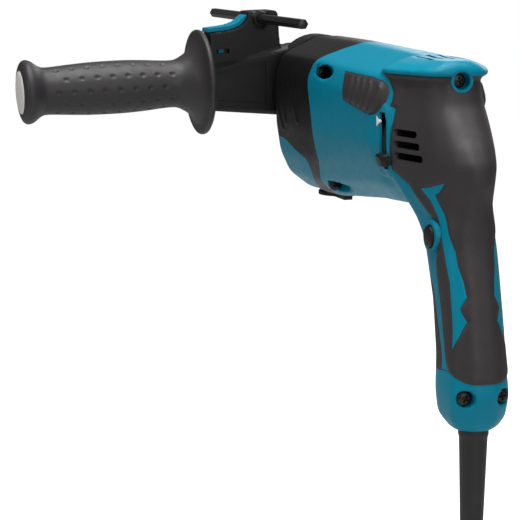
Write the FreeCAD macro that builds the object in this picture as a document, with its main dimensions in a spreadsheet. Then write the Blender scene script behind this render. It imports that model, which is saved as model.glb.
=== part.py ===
"""A pistol-grip rotary hammer with a side handle and a depth rod.

Millimetres.  The tool is drawn about its drill axis: -X is forward, out of the chuck, +Z is up and
-Y is the tool's left.  Station 0 is the middle of the side handle's clamp ring.  Every sub-part is
then placed so that the middle of the hand grip is the origin.
"""
import FreeCAD, Part
import math
import os
import re

import Sketcher
from FreeCAD import Vector

# Driving dimensions, in millimetres, degrees and counts.  A station lies along the drill axis,
# a drop is a depth below it, and a half is half of a width.
SIZES = {
    # where the middle of the hand grip lies
    "grip_reach": 240, "grip_drop": 90,
    # clearances and walls
    "play": 0.35, "fit": 0.05, "wall": 3, "skin": 2,
    # the three shaft lines
    "motor_drop": 24, "mid_drop": 46,
    # gear housing, motor housing and rear cover
    "gear_front": 12, "gear_shoulder": 23, "gear_rear": 82, "body_waist": 155, "cover_split": 212,
    "cap_edge": 15.5, "front_half": 34, "front_crown": 27.4, "front_bottom": 70,
    "gear_half": 38.5, "gear_crown": 28, "gear_bottom": 73, "lower_split": 42,
    "body_half": 36, "body_bottom": 64, "cover_half": 34.5, "cover_crown": 25, "cover_bottom": 61,
    "vent_front": 221, "vent_length": 18, "vent_drop": 17, "vent_pitch": 6.8, "vent_high": 3.4,
    "top_slot_station": 207, "top_slot_pitch": 6.6, "top_slot_half": 12, "top_slot_depth": 4,
    "pad_front": 141, "pad_floor": 31.4, "pad_thick": 2.2,
    "groove_width": 1.2, "groove_depth": 0.7,
    "spindle_room": 25.6, "mid_room": 23.6, "motor_room": 33, "front_wall": 5,
    # barrel
    "barrel_front": 21.5, "seat_radius": 22, "barrel_bore": 19, "flange_width": 4,
    # hammer mechanism
    "bit_radius": 5, "holder_radius": 11.5, "holder_front": 70, "cylinder_front": 12,
    "cylinder_rear": 54, "cylinder_radius": 17, "cylinder_bore": 13.2, "bolt_front": 24,
    "bolt_shoulder": 8, "bolt_rear": 4, "bolt_tip": 4.6, "bolt_radius": 9, "bolt_stub": 6,
    "striker_front": 12.5, "striker_length": 17.5, "piston_front": 38, "piston_rear": 68,
    "piston_wall": 1.9, "piston_crown": 4, "swash_station": 62, "swash_ball": 9.5, "swash_ring": 14,
    "swash_pin": 2.5, "swash_width": 11, "wrist_radius": 4.5, "wrist_half": 12,
    "wrist_slot": 5, "seal_width": 4, "needle_width": 12, "steady_station": 28, "steady_width": 7,
    # gears
    "tooth_module": 1, "tooth_tip": 0.75, "pinion_tip": 0.6, "tooth_root": 1.05, "pinion_teeth": 8, "mid_teeth": 36,
    "drive_teeth": 44, "spindle_teeth": 48, "gear_width": 8, "mid_gear_station": 72,
    "drive_station": 44, "mid_front": 26, "mid_rear": 93, "mid_radius": 5,
    # chuck
    "sleeve_front": 64, "sleeve_rear": 30.5, "sleeve_radius": 20.5, "sleeve_nose": 17.5,
    "sleeve_wall": 2.5, "cap_front": 77, "cap_rear": 65, "cap_radius": 13,
    "ball_radius": 3.5, "ball_station": 52, "ball_centre": 8.8, "spring_front": 43,
    "spring_seat": 24.5, "spring_radius": 13.4, "spring_wire": 1.4, "spring_turns": 4,
    # motor
    "plate_width": 7, "shaft_radius": 4, "shaft_rear": 211, "front_race": 11, "rear_race": 9.5,
    "mid_race": 9, "race_width": 7, "fan_station": 94, "fan_width": 10, "fan_radius": 30,
    "fan_blades": 11, "core_front": 120, "core_rear": 168, "core_radius": 21.4, "core_slots": 12,
    "stator_radius": 32.6, "stator_wall": 10, "comm_front": 180, "comm_rear": 200,
    "comm_radius": 12, "brush_station": 191, "brush_width": 8, "brush_high": 6, "ring_front": 184,
    "ring_width": 14, "ring_radius": 31, "ring_bore": 26, "lever_radius": 39, "lever_width": 8,
    "lever_high": 9, "lever_angle": 22, "lever_turn": 38,
    # screws
    "screw_radius": 2, "head_radius": 4.3, "head_high": 3, "screw_station": 91, "screw_length": 40,
    "upper_screw_side": 29, "upper_screw_drop": -8, "lower_screw_side": 20.5, "lower_screw_drop": 63,
    "cover_screw_station": 232, "cover_screw_drop": -13, "collar_screw_station": 275,
    "collar_screw_side": 11.2, "collar_screw_drop": 161, "cover_screw_length": 34,
    "collar_screw_length": 24,
    # handle levels: front face, dividing line, rear face and half width of each
    "root_drop": 55, "root_front": 206, "root_split": 214, "root_rear": 261, "root_half": 26,
    "neck_drop": 79, "neck_front": 219, "neck_split": 236, "neck_rear": 262, "neck_half": 17.5,
    "palm_drop": 110, "palm_front": 228, "palm_split": 250, "palm_rear": 271, "palm_half": 16.5,
    "heel_drop": 141, "heel_front": 235, "heel_split": 256, "heel_rear": 278, "heel_half": 17,
    "cuff_drop": 161, "cuff_front": 237.5, "cuff_split": 259, "cuff_rear": 281, "cuff_half": 18.5,
    "foot_drop": 174, "foot_front": 239.5, "foot_split": 261, "foot_rear": 277, "foot_half": 17.5,
    "sole_drop": 182, "sole_front": 249, "sole_split": 262, "sole_rear": 273, "sole_half": 12,
    # trigger, lock button and mode knob
    "trigger_top": 64, "trigger_drop": 98, "trigger_half": 7, "trigger_top_station": 199,
    "trigger_low_station": 215, "trigger_depth": 9,
    "switch_station": 238, "switch_depth": 13, "switch_half": 8.5, "switch_top": 70, "switch_high": 40,
    "button_station": 240, "button_drop": 74, "button_radius": 6.2, "button_travel": 3,
    "button_proud": 3.5, "knob_station": 45, "knob_radius": 15, "knob_high": 5, "knob_grip": 3,
    # side handle
    "handle_tilt": 1.9, "ring_half": 9, "ring_outer": 32, "arm_root": 26, "arm_end": 80,
    "arm_root_half": 11, "arm_end_half": 7.5, "arm_root_top": 22.5, "arm_root_drop": 25.5,
    "arm_end_top": 12.5, "arm_end_drop": 19, "flange_start": 83, "flange_width_out": 3,
    "flange_radius": 35, "neck_length": 21, "neck_radius": 15.5, "belly_radius": 17.5,
    "grip_end": 206.5, "bulge_radius": 21, "disc_radius": 14.3, "bolt_shank": 4, "bolt_head": 7.5,
    "bolt_end": 150, "panel_depth": 1.2, "hinge_radius": 1.7, "bolt_start": 40, "rod_across": 6, "rod_side": 44, "rod_high": 40.8, "rod_front": 98,
    "rod_rear": 97, "block_side": 31, "block_high": 46, "lock_reach": 63,
    # cord
    "cord_radius": 4.2, "guard_top_radius": 8.75, "guard_low_radius": 5.6, "guard_length": 88,
    "guard_seat": 10, "coil_radius": 53, "coil_thick": 12.5, "plug_length": 50, "plug_radius": 17,
}

doc = FreeCAD.newDocument("rotary_hammer")
sheet = doc.addObject("Spreadsheet::Sheet", "Sizes")
for row, (alias, number) in enumerate(SIZES.items(), start=1):
    sheet.set("A%d" % row, alias)
    sheet.set("B%d" % row, str(number))
    sheet.setAlias("B%d" % row, alias)
doc.recompute()

parts = []


# ---- helpers ------------------------------------------------------------------------------------

def link(text):
    """An expression with each size's alias led by the sheet's name."""
    return re.sub(r"[a-z_]+", lambda word: "Sizes." + word[0] if word[0] in SIZES else word[0], str(text))


def value(text):
    """The number that an expression comes to now."""
    return float(sheet.evalExpression(str(text)))


def new_body(name, tilted=False):
    """An empty body for one sub-part, placed in the tool's frame."""
    body = doc.addObject("PartDesign::Body", name)
    body.Label = name
    if tilted:
        body.Placement.Rotation = FreeCAD.Rotation(Vector(1, 0, 0), value("handle_tilt"))
        body.setExpression("Placement.Rotation.Angle", link("handle_tilt"))
    body.setExpression("Placement.Base.x", link("-grip_reach"))
    body.setExpression("Placement.Base.z", link("grip_drop"))
    parts.append(body)
    return body


def sketch_on(body, plane, out="0", across="0", up="0", turned="0"):
    """A sketch on one of the body's own planes, moved out from it, along it and turned on it."""
    sketch = body.newObject("Sketcher::SketchObject", body.Name + "_sketch")
    face = next(item for item in body.Origin.OriginFeatures if item.Role == plane)
    sketch.AttachmentSupport = [(face, "")]
    sketch.MapMode = "FlatFace"
    sketch.AttachmentOffset = FreeCAD.Placement(
        Vector(value(across), value(up), value(out)), FreeCAD.Rotation(Vector(0, 0, 1), value(turned)))
    for axis, text in zip("xyz", (across, up, out)):
        sketch.setExpression("AttachmentOffset.Base." + axis, link(text))
    if turned != "0":
        sketch.setExpression("AttachmentOffset.Rotation.Angle", link(turned))
    return sketch


def hold(sketch, kind, places, text):
    """One dimension of a sketch, bound to the sizes."""
    index = sketch.addConstraint(Sketcher.Constraint(kind, *places, value(text)))
    sketch.setExpression("Constraints[%d]" % index, link(text))


def outline(sketch, points):
    """A closed outline of straight edges, each corner held by its distances from the origin."""
    places = [Vector(value(x), value(y), 0) for x, y in points]
    first = sketch.GeometryCount
    for here, there in zip(places, places[1:] + places[:1]):
        sketch.addGeometry(Part.LineSegment(here, there), False)
    for index, (x, y) in enumerate(points):
        before = first + (index - 1) % len(points)
        sketch.addConstraint(Sketcher.Constraint("Coincident", first + index, 1, before, 2))
        hold(sketch, "DistanceX", (-1, 1, first + index, 1), x)
        hold(sketch, "DistanceY", (-1, 1, first + index, 1), y)
    return sketch


def circles(sketch, centres, radius):
    """Circles of one radius about the given centres."""
    for x, y in centres:
        index = sketch.addGeometry(Part.Circle(Vector(value(x), value(y), 0), Vector(0, 0, 1),
                                               value(radius)), False)
        hold(sketch, "DistanceX", (-1, 1, index, 3), x)
        hold(sketch, "DistanceY", (-1, 1, index, 3), y)
        hold(sketch, "Radius", (index,), radius)
    return sketch


def feature(body, kind, profile):
    """A PartDesign feature made from a sketch, set as the body's tip."""
    made = body.newObject("PartDesign::" + kind, body.Name + "_" + kind.lower())
    made.Profile = (profile, [""])
    body.Tip = made
    return made


def turn(body, profile, cut=False, axis="H_Axis"):
    """A profile turned about its sketch's own axis."""
    made = feature(body, "Groove" if cut else "Revolution", profile)
    made.ReferenceAxis = (profile, [axis])
    made.Angle = 360
    return made


def turned(body, stations, drop="0", cut=False):
    """A shape turned about a line along X, from pairs of station and radius."""
    return turn(body, outline(sketch_on(body, "XZ_Plane", up="-(%s)" % drop), stations), cut)


def tube(body, front, rear, outer, inner, drop="0"):
    """A round ring or sleeve along X."""
    return turned(body, [(front, inner), (front, outer), (rear, outer), (rear, inner)], drop)


def rod(body, front, rear, radius, drop="0", cut=False):
    """A round bar along X, or the bore for one."""
    return turned(body, [(front, "0"), (front, radius), (rear, radius), (rear, "0")], drop, cut)


def extrude(body, profile, length, cut=False, both=False):
    """A profile drawn out along its plane's normal, or to both sides of it."""
    made = feature(body, "Pocket" if cut else "Pad", profile)
    made.setExpression("Length", link(length))
    if both:
        made.SideType = "Symmetric"
    elif cut:
        made.Reversed = True
    return made


def loft(body, sections, cut=False):
    """A shape through sections, straight from each to the next."""
    made = feature(body, "SubtractiveLoft" if cut else "AdditiveLoft", sections[0])
    made.Sections = [(section, [""]) for section in sections[1:]]
    made.Ruled = True
    return made


def around(body, original, count, profile):
    """Copies of one feature, spaced evenly about its sketch's normal."""
    made = body.newObject("PartDesign::PolarPattern", body.Name + "_pattern")
    made.Originals = [original]
    made.Axis = (profile, ["N_Axis"])
    made.Angle = 360
    made.setExpression("Occurrences", link(count))
    body.Tip = made
    return made


def mirrored(points):
    """A half outline from the crown down the right side, closed by its mirror image."""
    return points + [("-(%s)" % x, y) for x, y in reversed(points)]


# ---- housings -----------------------------------------------------------------------------------

def body_section(body, station, half, crown, bottom, inset="0"):
    """One cross-section of the upper housings: a flat crown, facets, upright sides and a keel."""
    half = "(%s - %s)" % (half, inset)
    crown = "(%s - %s)" % (crown, inset)
    bottom = "(%s - %s)" % (bottom, inset)
    side = [("%s * 0.2" % half, crown), ("%s * 0.58" % half, "%s - 6.5" % crown),
            ("%s * 0.89" % half, "%s - 12" % crown), (half, "%s - 25" % crown),
            (half, "-motor_drop - 4"), ("%s * 0.92" % half, "-%s + 25" % bottom),
            ("%s * 0.75" % half, "-%s + 11" % bottom), ("%s * 0.38" % half, "-%s" % bottom)]
    return outline(sketch_on(body, "YZ_Plane", out=station), mirrored(side))


def gear_form(body):
    """The outside of the gear housing with its lower cover, and the room inside them."""
    loft(body, [body_section(body, "gear_front", "front_half", "front_crown", "front_bottom"),
                body_section(body, "gear_shoulder", "gear_half", "gear_crown", "gear_bottom"),
                body_section(body, "gear_rear - gear_shoulder", "gear_half", "gear_crown", "gear_bottom"),
                body_section(body, "gear_rear", "body_half + 0.5", "gear_crown", "gear_bottom - 1")])
    rod(body, "gear_front - 1", "gear_front + front_wall + 1", "seat_radius", cut=True)
    rod(body, "gear_front + front_wall", "gear_rear + 1", "spindle_room", cut=True)
    rod(body, "gear_front + front_wall", "gear_rear + 1", "mid_room", "mid_drop", cut=True)
    room = sketch_on(body, "YZ_Plane", out="gear_front + front_wall")
    outline(room, [("-swash_ring - 5", "0"), ("-swash_ring - 5", "-mid_drop"),
                   ("swash_ring + 5", "-mid_drop"), ("swash_ring + 5", "0")])
    extrude(body, room, "gear_rear - gear_front", cut=True)
    holes = sketch_on(body, "YZ_Plane", out="screw_station - screw_length")
    circles(holes, SCREW_PLACES, "screw_radius + fit")
    extrude(body, holes, "screw_length", cut=True)


SCREW_PLACES = [(side + across, "-%s_screw_drop" % level)
                for level, across in (("upper", "upper_screw_side"), ("lower", "lower_screw_side"))
                for side in ("", "-")]

gear_housing = new_body("gear_housing")
gear_form(gear_housing)
SPLIT_LINE = [("gear_front - 5", "-lower_split"), ("gear_rear - 6", "-lower_split - 8"),
              ("gear_rear - 28", "-gear_bottom + 4"), ("gear_rear - 28", "-gear_bottom - 5")]
below = sketch_on(gear_housing, "XZ_Plane")
outline(below, SPLIT_LINE + [("gear_front - 5", "-gear_bottom - 5")])
extrude(gear_housing, below, "gear_half * 3", cut=True, both=True)

for side in ("", "-"):
    grooves = sketch_on(gear_housing, "XZ_Plane", out=side + "gear_half")
    for station in ("gear_shoulder + 4", "gear_shoulder + 14", "gear_shoulder + 24"):
        outline(grooves, [(station, "-3"), (station + " + groove_width", "-3"),
                          (station + " + groove_width + 3", "-lower_split + 12"),
                          (station + " + 3", "-lower_split + 12")])
    extrude(gear_housing, grooves, "groove_depth * 2", cut=True, both=True)

lower_cover = new_body("lower_cover")
gear_form(lower_cover)
above = sketch_on(lower_cover, "XZ_Plane")
outline(above, SPLIT_LINE + [("gear_rear + 5", "-gear_bottom - 5"), ("gear_rear + 5", "gear_crown + 5"),
                             ("gear_front - 5", "gear_crown + 5")])
extrude(lower_cover, above, "gear_half * 3", cut=True, both=True)
stem_hole = sketch_on(lower_cover, "XY_Plane", out="-gear_bottom - 1")
circles(stem_hole, [("knob_station", "0")], "knob_grip + play")
extrude(lower_cover, stem_hole, "5", cut=True)

barrel = new_body("barrel")
turned(barrel, [("-barrel_front", "barrel_bore"), ("-barrel_front", "seat_radius - 1"),
                ("-barrel_front + 1", "seat_radius"), ("gear_front + front_wall", "seat_radius"),
                ("gear_front + front_wall", "spindle_room - fit"),
                ("gear_front + front_wall + flange_width", "spindle_room - fit"),
                ("gear_front + front_wall + flange_width", "barrel_bore")])

motor_housing = new_body("motor_housing")
loft(motor_housing, [body_section(motor_housing, "gear_rear", "body_half + 0.5", "gear_crown",
                                  "gear_bottom - 1"),
                     body_section(motor_housing, "body_waist", "body_half",
                                  "(gear_crown + cover_crown) / 2", "body_bottom"),
                     body_section(motor_housing, "cover_split", "cover_half", "cover_crown",
                                  "cover_bottom")])


LEVELS = ("root", "neck", "palm", "heel", "cuff", "foot", "sole")


def front_level(body, level, inset="0"):
    """The front half of one level section of the handle, from its dividing line forward."""
    front = "%s_front + %s" % (level, inset)
    back = "%s_split" % level
    half = "(%s_half - %s)" % (level, inset)
    side = [(front, "%s * 0.45" % half), ("%s + 5" % front, "%s * 0.86" % half),
            ("(%s + %s) / 2 + 2" % (front, back), half), (back, half)]
    return outline(sketch_on(body, "XY_Plane", out="-%s_drop" % level),
                   side + [(x, "-(%s)" % y) for x, y in reversed(side)])


def rear_level(body, level, inset="0"):
    """The rear half of one level section of the handle, from its dividing line back."""
    front = "%s_split" % level
    back = "%s_rear - %s" % (level, inset)
    half = "(%s_half - %s)" % (level, inset)
    side = [(front, half), ("(%s + %s) / 2 + 1" % (front, back), "%s * 0.97" % half),
            ("%s - 5" % back, "%s * 0.8" % half), (back, "%s * 0.4" % half)]
    return outline(sketch_on(body, "XY_Plane", out="-%s_drop" % level),
                   side + [(x, "-(%s)" % y) for x, y in reversed(side)])


loft(motor_housing, [front_level(motor_housing, level) for level in LEVELS])
loft(motor_housing, [front_level(motor_housing, level, "wall") for level in LEVELS[:4]], cut=True)
rod(motor_housing, "gear_rear - 1", "cover_split + 1", "motor_room", "motor_drop", cut=True)
slot = sketch_on(motor_housing, "YZ_Plane", out="ring_front + ring_width - 6")
SLOT_TOP = "-motor_drop + %s * sin(lever_turn - lever_angle) + lever_high * 0.75"
SLOT_LOW = "-motor_drop - %s * sin(lever_angle) - lever_high * 0.75"
outline(slot, [("-lever_radius - 5", SLOT_TOP % "lever_radius"), ("-ring_bore", SLOT_TOP % "ring_bore"),
               ("-ring_bore", SLOT_LOW % "ring_bore"), ("-lever_radius - 5", SLOT_LOW % "lever_radius")])
extrude(motor_housing, slot, "lever_width + 3", cut=True)
mouth = sketch_on(motor_housing, "XZ_Plane")
outline(mouth, [("trigger_top_station - 3", "-trigger_top + 1"), ("neck_split + 2", "-trigger_top + 1"),
                ("neck_split + 2", "-trigger_drop - 1"), ("trigger_top_station - 3", "-trigger_drop - 1")])
extrude(motor_housing, mouth, "(trigger_half + play) * 2", cut=True, both=True)
heads = sketch_on(motor_housing, "YZ_Plane", out="screw_station - head_high")
circles(heads, SCREW_PLACES, "head_radius + 1")
extrude(motor_housing, heads, "14", cut=True)
shanks = sketch_on(motor_housing, "YZ_Plane", out="gear_rear - 1")
circles(shanks, SCREW_PLACES, "screw_radius + fit")
extrude(motor_housing, shanks, "screw_station - gear_rear", cut=True)
guard_hole = sketch_on(motor_housing, "XY_Plane", out="-sole_drop - 1")
circles(guard_hole, [("sole_split", "0")], "guard_top_radius + fit")
extrude(motor_housing, guard_hole, "guard_seat + 1", cut=True)


def cover_level(body, drop, rear, half, tail, inset="0"):
    """One level section of the rear cover above the handle, from the dividing plane back."""
    half = "(%s - %s)" % (half, inset)
    back = "(%s - %s)" % (rear, inset)
    side = [("cover_split", half), ("cover_split * 0.45 + %s * 0.55" % back, "%s * 0.95" % half),
            ("%s - 4" % back, "(%s * 0.35 + %s * 0.65)" % (half, tail)), (back, "%s * 0.6" % tail)]
    return outline(sketch_on(body, "XY_Plane", out="-(%s)" % drop),
                   side + [(x, "-(%s)" % y) for x, y in reversed(side)])


def cover_form(body, inset="0", cut=False, hollow=False):
    """The rear cover: the cap over the motor's end, the web of the hand, and the handle's back."""
    cap = [("-cover_crown + %s" % inset, "236", "cover_half * 0.2", "6"),
           ("-cover_crown + 6.5", "239", "cover_half * 0.58", "13"),
           ("-cover_crown + 12", "238.5", "cover_half * 0.89", "19"),
           ("0", "239", "cover_half", "23"), ("12", "249", "cover_half", "22"),
           ("24", "260", "cover_half", "19"), ("33", "267", "cover_half * 0.97", "16"),
           ("44", "266", "cover_half * 0.86", "15")]
    levels = [cover_level(body, drop, rear, half, tail, inset) for drop, rear, half, tail in cap]
    levels += [rear_level(body, level, inset) for level in (LEVELS[:4] if hollow else LEVELS)]
    return loft(body, levels, cut)


RUBBER_TOP = [("cover_split - 25", "cap_edge - 1"), ("cuff_rear + 20", "cap_edge + 1")]
RUBBER_LOW = [("cuff_rear + 20", "-collar_screw_drop + 9"), ("cover_split - 25", "-collar_screw_drop + 9")]

rear_cover = new_body("rear_cover")
cover_form(rear_cover)
band = outline(sketch_on(rear_cover, "XZ_Plane"), RUBBER_TOP + RUBBER_LOW)
extrude(rear_cover, band, "cover_half * 3", cut=True, both=True)
cover_form(rear_cover, "skin")
cover_form(rear_cover, "(skin + wall)", cut=True, hollow=True)
COLLAR_PLACES = [(side + "collar_screw_side", "-collar_screw_drop") for side in ("", "-")]
TOP_PLACE = [("0", "-cover_screw_drop")]


def bores(body, places, radius, front, rear):
    """Round holes along X, all of one radius, from one station to another."""
    holes = sketch_on(body, "YZ_Plane", out=front)
    circles(holes, places, radius)
    extrude(body, holes, "%s - (%s)" % (rear, front), cut=True)


boss = sketch_on(rear_cover, "YZ_Plane", out="cover_split")
circles(boss, TOP_PLACE, "head_radius + 1.5")
extrude(rear_cover, boss, "cover_screw_station - cover_split + 4")
bores(rear_cover, TOP_PLACE, "screw_radius + fit", "cover_split - 1", "cover_screw_station")
bores(rear_cover, TOP_PLACE, "head_radius + play", "cover_screw_station + 2 - head_high", "cover_screw_station + 20")
bores(rear_cover, COLLAR_PLACES, "screw_radius + fit", "cuff_split - 2", "collar_screw_station")
bores(rear_cover, COLLAR_PLACES, "head_radius + play", "collar_screw_station - head_high",
      "collar_screw_station + 20")
bores(motor_housing, TOP_PLACE, "screw_radius + fit", "cover_screw_station - cover_screw_length", "cover_split + 1")
bores(motor_housing, COLLAR_PLACES, "screw_radius + fit", "collar_screw_station - collar_screw_length - 1",
      "cuff_split + 3")
low_hole = sketch_on(rear_cover, "XY_Plane", out="-sole_drop - 1")
circles(low_hole, [("sole_split", "0")], "guard_top_radius + fit")
extrude(rear_cover, low_hole, "guard_seat + 1", cut=True)


def cord_way(body):
    """The upright passage for the cord through the solid cuff."""
    way = sketch_on(body, "XY_Plane", out="-sole_drop")
    circles(way, [("sole_split", "0")], "cord_radius + play * 2")
    extrude(body, way, "sole_drop - heel_drop + 3", cut=True)


def button_way(body):
    """The hole in the left side for the lock button."""
    way = sketch_on(body, "XZ_Plane", out="switch_half / 2")
    circles(way, [("button_station", "-button_drop")], "button_radius + play")
    extrude(body, way, "cover_half", cut=True)


cord_way(rear_cover)
cord_way(motor_housing)
button_way(rear_cover)
button_way(motor_housing)

rear_grip = new_body("rear_grip")
cover_form(rear_grip)
cover_form(rear_grip, "skin", cut=True)
TALL = [("cuff_rear + 20", "cover_crown + 5"), ("cover_split - 25", "cover_crown + 5")]
extrude(rear_grip, outline(sketch_on(rear_grip, "XZ_Plane"), RUBBER_TOP + TALL), "cover_half * 3",
        cut=True, both=True)
DEEP = [("cover_split - 25", "-sole_drop - 5"), ("cuff_rear + 20", "-sole_drop - 5")]
extrude(rear_grip, outline(sketch_on(rear_grip, "XZ_Plane"), RUBBER_LOW + DEEP), "cover_half * 3",
        cut=True, both=True)
button_way(rear_grip)
bores(rear_grip, TOP_PLACE, "head_radius + 1.5 + fit", "cover_split - 1", "cover_screw_station + 20")


def vents(body):
    """Three level air slots through each side, behind the dividing plane."""
    slots = sketch_on(body, "XZ_Plane")
    for step in ("0", "1", "2"):
        top = "-vent_drop - vent_pitch * %s" % step
        front, back = "vent_front", "vent_front + vent_length + 3 * %s" % step
        outline(slots, [(front, top), (back, top + " - 1.5"), (back, top + " - vent_high - 1.5"),
                        (front, top + " - vent_high")])
    extrude(body, slots, "cover_half * 3", cut=True, both=True)


vents(rear_cover)
vents(rear_grip)


def top_slots(body):
    """Four narrow slots in the flat top, the middle two longer."""
    slots = sketch_on(body, "XY_Plane", out="gear_crown")
    for side in ("-1.5", "-0.5", "0.5", "1.5"):
        middle = "top_slot_pitch * %s" % side
        half = "top_slot_half - abs(%s)" % side
        outline(slots, [("top_slot_station - (%s)" % half, middle + " - 1.2"),
                        ("top_slot_station + (%s)" % half, middle + " - 1.2"),
                        ("top_slot_station + (%s)" % half, middle + " + 1.2"),
                        ("top_slot_station - (%s)" % half, middle + " + 1.2")])
    extrude(body, slots, "gear_crown - cover_crown + top_slot_depth", cut=True)


top_slots(rear_cover)
top_slots(motor_housing)


PAD_OUTLINE = [("pad_front", "13"), ("pad_front + 64", "11.5"), ("pad_front + 69", "5"),
               ("pad_front + 63", "-4"), ("pad_front + 46", "-9.5"), ("pad_front + 2", "-4")]
thumb_pads = new_body("thumb_pads")
for side, way in (("", "-"), ("-", "")):
    pocket = sketch_on(motor_housing, "XZ_Plane", out="%s(pad_floor + 5)" % side)
    outline(pocket, PAD_OUTLINE)
    extrude(motor_housing, pocket, "10", cut=True, both=True)
    pad = sketch_on(thumb_pads, "XZ_Plane", out="%s(pad_floor + pad_thick / 2)" % side)
    outline(pad, PAD_OUTLINE)
    extrude(thumb_pads, pad, "pad_thick", both=True)


def screws(name, places, station, length):
    """A set of like screws along X with their heads to the rear, each a separate solid."""
    body = new_body(name)
    shank = sketch_on(body, "YZ_Plane", out="%s - %s" % (station, length))
    circles(shank, places, "screw_radius")
    extrude(body, shank, "%s - head_high" % length)
    head = sketch_on(body, "YZ_Plane", out="%s - head_high" % station)
    circles(head, places, "head_radius")
    extrude(body, head, "head_high")
    recess = sketch_on(body, "YZ_Plane", out="%s - head_high / 2" % station)
    circles(recess, places, "screw_radius * 0.8")
    extrude(body, recess, "head_high", cut=True)


screws("housing_screws", SCREW_PLACES, "screw_station", "screw_length")
screws("cover_screw", TOP_PLACE, "cover_screw_station + 2", "cover_screw_length")
screws("collar_screws", COLLAR_PLACES, "collar_screw_station", "collar_screw_length")

# ---- motor --------------------------------------------------------------------------------------

bearing_plate = new_body("bearing_plate")
rod(bearing_plate, "gear_rear", "gear_rear + plate_width", "motor_room - fit", "motor_drop")
rod(bearing_plate, "gear_rear - 1", "gear_rear + plate_width + 1", "front_race + fit", "motor_drop", cut=True)
rod(bearing_plate, "gear_rear - 1", "gear_rear + plate_width + 1", "mid_race + fit", "mid_drop", cut=True)
front_bearing = new_body("motor_front_bearing")
tube(front_bearing, "gear_rear", "gear_rear + race_width", "front_race", "shaft_radius + fit", "motor_drop")
mid_rear_bearing = new_body("mid_rear_bearing")
tube(mid_rear_bearing, "gear_rear", "gear_rear + race_width", "mid_race", "mid_radius - 1 + fit", "mid_drop")

stator = new_body("stator")
tube(stator, "core_front - 2", "core_rear + 2", "stator_radius", "stator_radius - stator_wall", "motor_drop")
field_coils = new_body("field_coils")
tube(field_coils, "core_front - 12", "core_front - 2", "stator_radius - 3", "stator_radius - stator_wall + 1",
     "motor_drop")
tube(field_coils, "core_rear + 2", "core_rear + 11", "stator_radius - 3", "stator_radius - stator_wall + 1",
     "motor_drop")
baffle = new_body("fan_baffle")
turned(baffle, [("fan_station + fan_width + 1.5", "motor_room - fit"),
                ("fan_station + fan_width + 3", "motor_room - fit"),
                ("fan_station + fan_width + 3", "core_radius + 1"),
                ("fan_station + fan_width + 1.5", "core_radius + 1")], "motor_drop")
motor_rear_bearing = new_body("motor_rear_bearing")
tube(motor_rear_bearing, "shaft_rear - race_width", "shaft_rear", "rear_race", "shaft_radius - 1 + fit",
     "motor_drop")
bearing_seat = new_body("rear_bearing_seat")
turned(bearing_seat, [("shaft_rear - race_width", "rear_race + fit"), ("shaft_rear - 0.5", "rear_race + fit"),
                      ("shaft_rear - 0.5", "rear_race + 4"), ("shaft_rear - race_width + 1", "rear_race + 4"),
                      ("shaft_rear - race_width", "motor_room - fit"),
                      ("shaft_rear - race_width - 3", "motor_room - fit"),
                      ("shaft_rear - race_width - 3", "shaft_radius + 2"),
                      ("shaft_rear - race_width", "shaft_radius + 2")], "motor_drop")


def teeth_on(body, station, width, teeth, drop, half_pitch=False):
    """Cuts the spaces between spur teeth: one space, repeated round the blank."""
    pitch = "(%s * tooth_module / 2)" % teeth
    space = sketch_on(body, "YZ_Plane", out="%s - 1" % station, up="-%s" % drop,
                      turned="180 / %s" % teeth if half_pitch else "0")
    low = "%s - tooth_root" % pitch
    outline(space, [("-0.6", low), ("-1.3", "%s + tooth_tip + 0.3" % pitch),
                    ("1.3", "%s + tooth_tip + 0.3" % pitch), ("0.6", low)])
    cut = extrude(body, space, "%s + 2" % width, cut=True)
    around(body, cut, teeth, space)


def gear(name, station, teeth, drop, bore, half_pitch=False):
    """A spur gear on its shaft."""
    body = new_body(name)
    tube(body, station, "%s + gear_width" % station, "%s * tooth_module / 2 + tooth_tip" % teeth, bore, drop)
    teeth_on(body, station, "gear_width", teeth, drop, half_pitch)
    return body


armature_shaft = new_body("armature_shaft")
PINION_TIP = "pinion_teeth * tooth_module / 2 + pinion_tip"
turned(armature_shaft, [("mid_gear_station - 1", "0"), ("mid_gear_station - 1", PINION_TIP),
                        ("mid_gear_station + gear_width", PINION_TIP),
                        ("mid_gear_station + gear_width", "shaft_radius - 1"),
                        ("gear_rear - 0.5", "shaft_radius - 1"), ("gear_rear - 0.5", "shaft_radius"),
                        ("shaft_rear - race_width - 0.5", "shaft_radius"),
                        ("shaft_rear - race_width - 0.5", "shaft_radius - 1"),
                        ("shaft_rear - 0.5", "shaft_radius - 1"), ("shaft_rear - 0.5", "0")], "motor_drop")
teeth_on(armature_shaft, "mid_gear_station - 1", "gear_width", "pinion_teeth", "motor_drop", half_pitch=True)

armature_core = new_body("armature_core")
tube(armature_core, "core_front", "core_rear", "core_radius", "shaft_radius", "motor_drop")
wire_slot = sketch_on(armature_core, "YZ_Plane", out="core_front - 1", up="-motor_drop")
outline(wire_slot, [("-1.2", "core_radius - 7"), ("-1.2", "core_radius + 1"), ("1.2", "core_radius + 1"),
                    ("1.2", "core_radius - 7")])
around(armature_core, extrude(armature_core, wire_slot, "core_rear - core_front + 2", cut=True),
       "core_slots", wire_slot)
commutator = new_body("commutator")
tube(commutator, "comm_front", "comm_rear", "comm_radius", "shaft_radius", "motor_drop")
bar_gap = sketch_on(commutator, "YZ_Plane", out="comm_front - 1", up="-motor_drop")
outline(bar_gap, [("-0.3", "comm_radius - 1"), ("-0.3", "comm_radius + 1"), ("0.3", "comm_radius + 1"),
                  ("0.3", "comm_radius - 1")])
around(commutator, extrude(commutator, bar_gap, "comm_rear - comm_front + 2", cut=True),
       "core_slots", bar_gap)
fan = new_body("fan")
tube(fan, "fan_station", "fan_station + fan_width", "shaft_radius + 4", "shaft_radius", "motor_drop")
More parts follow.
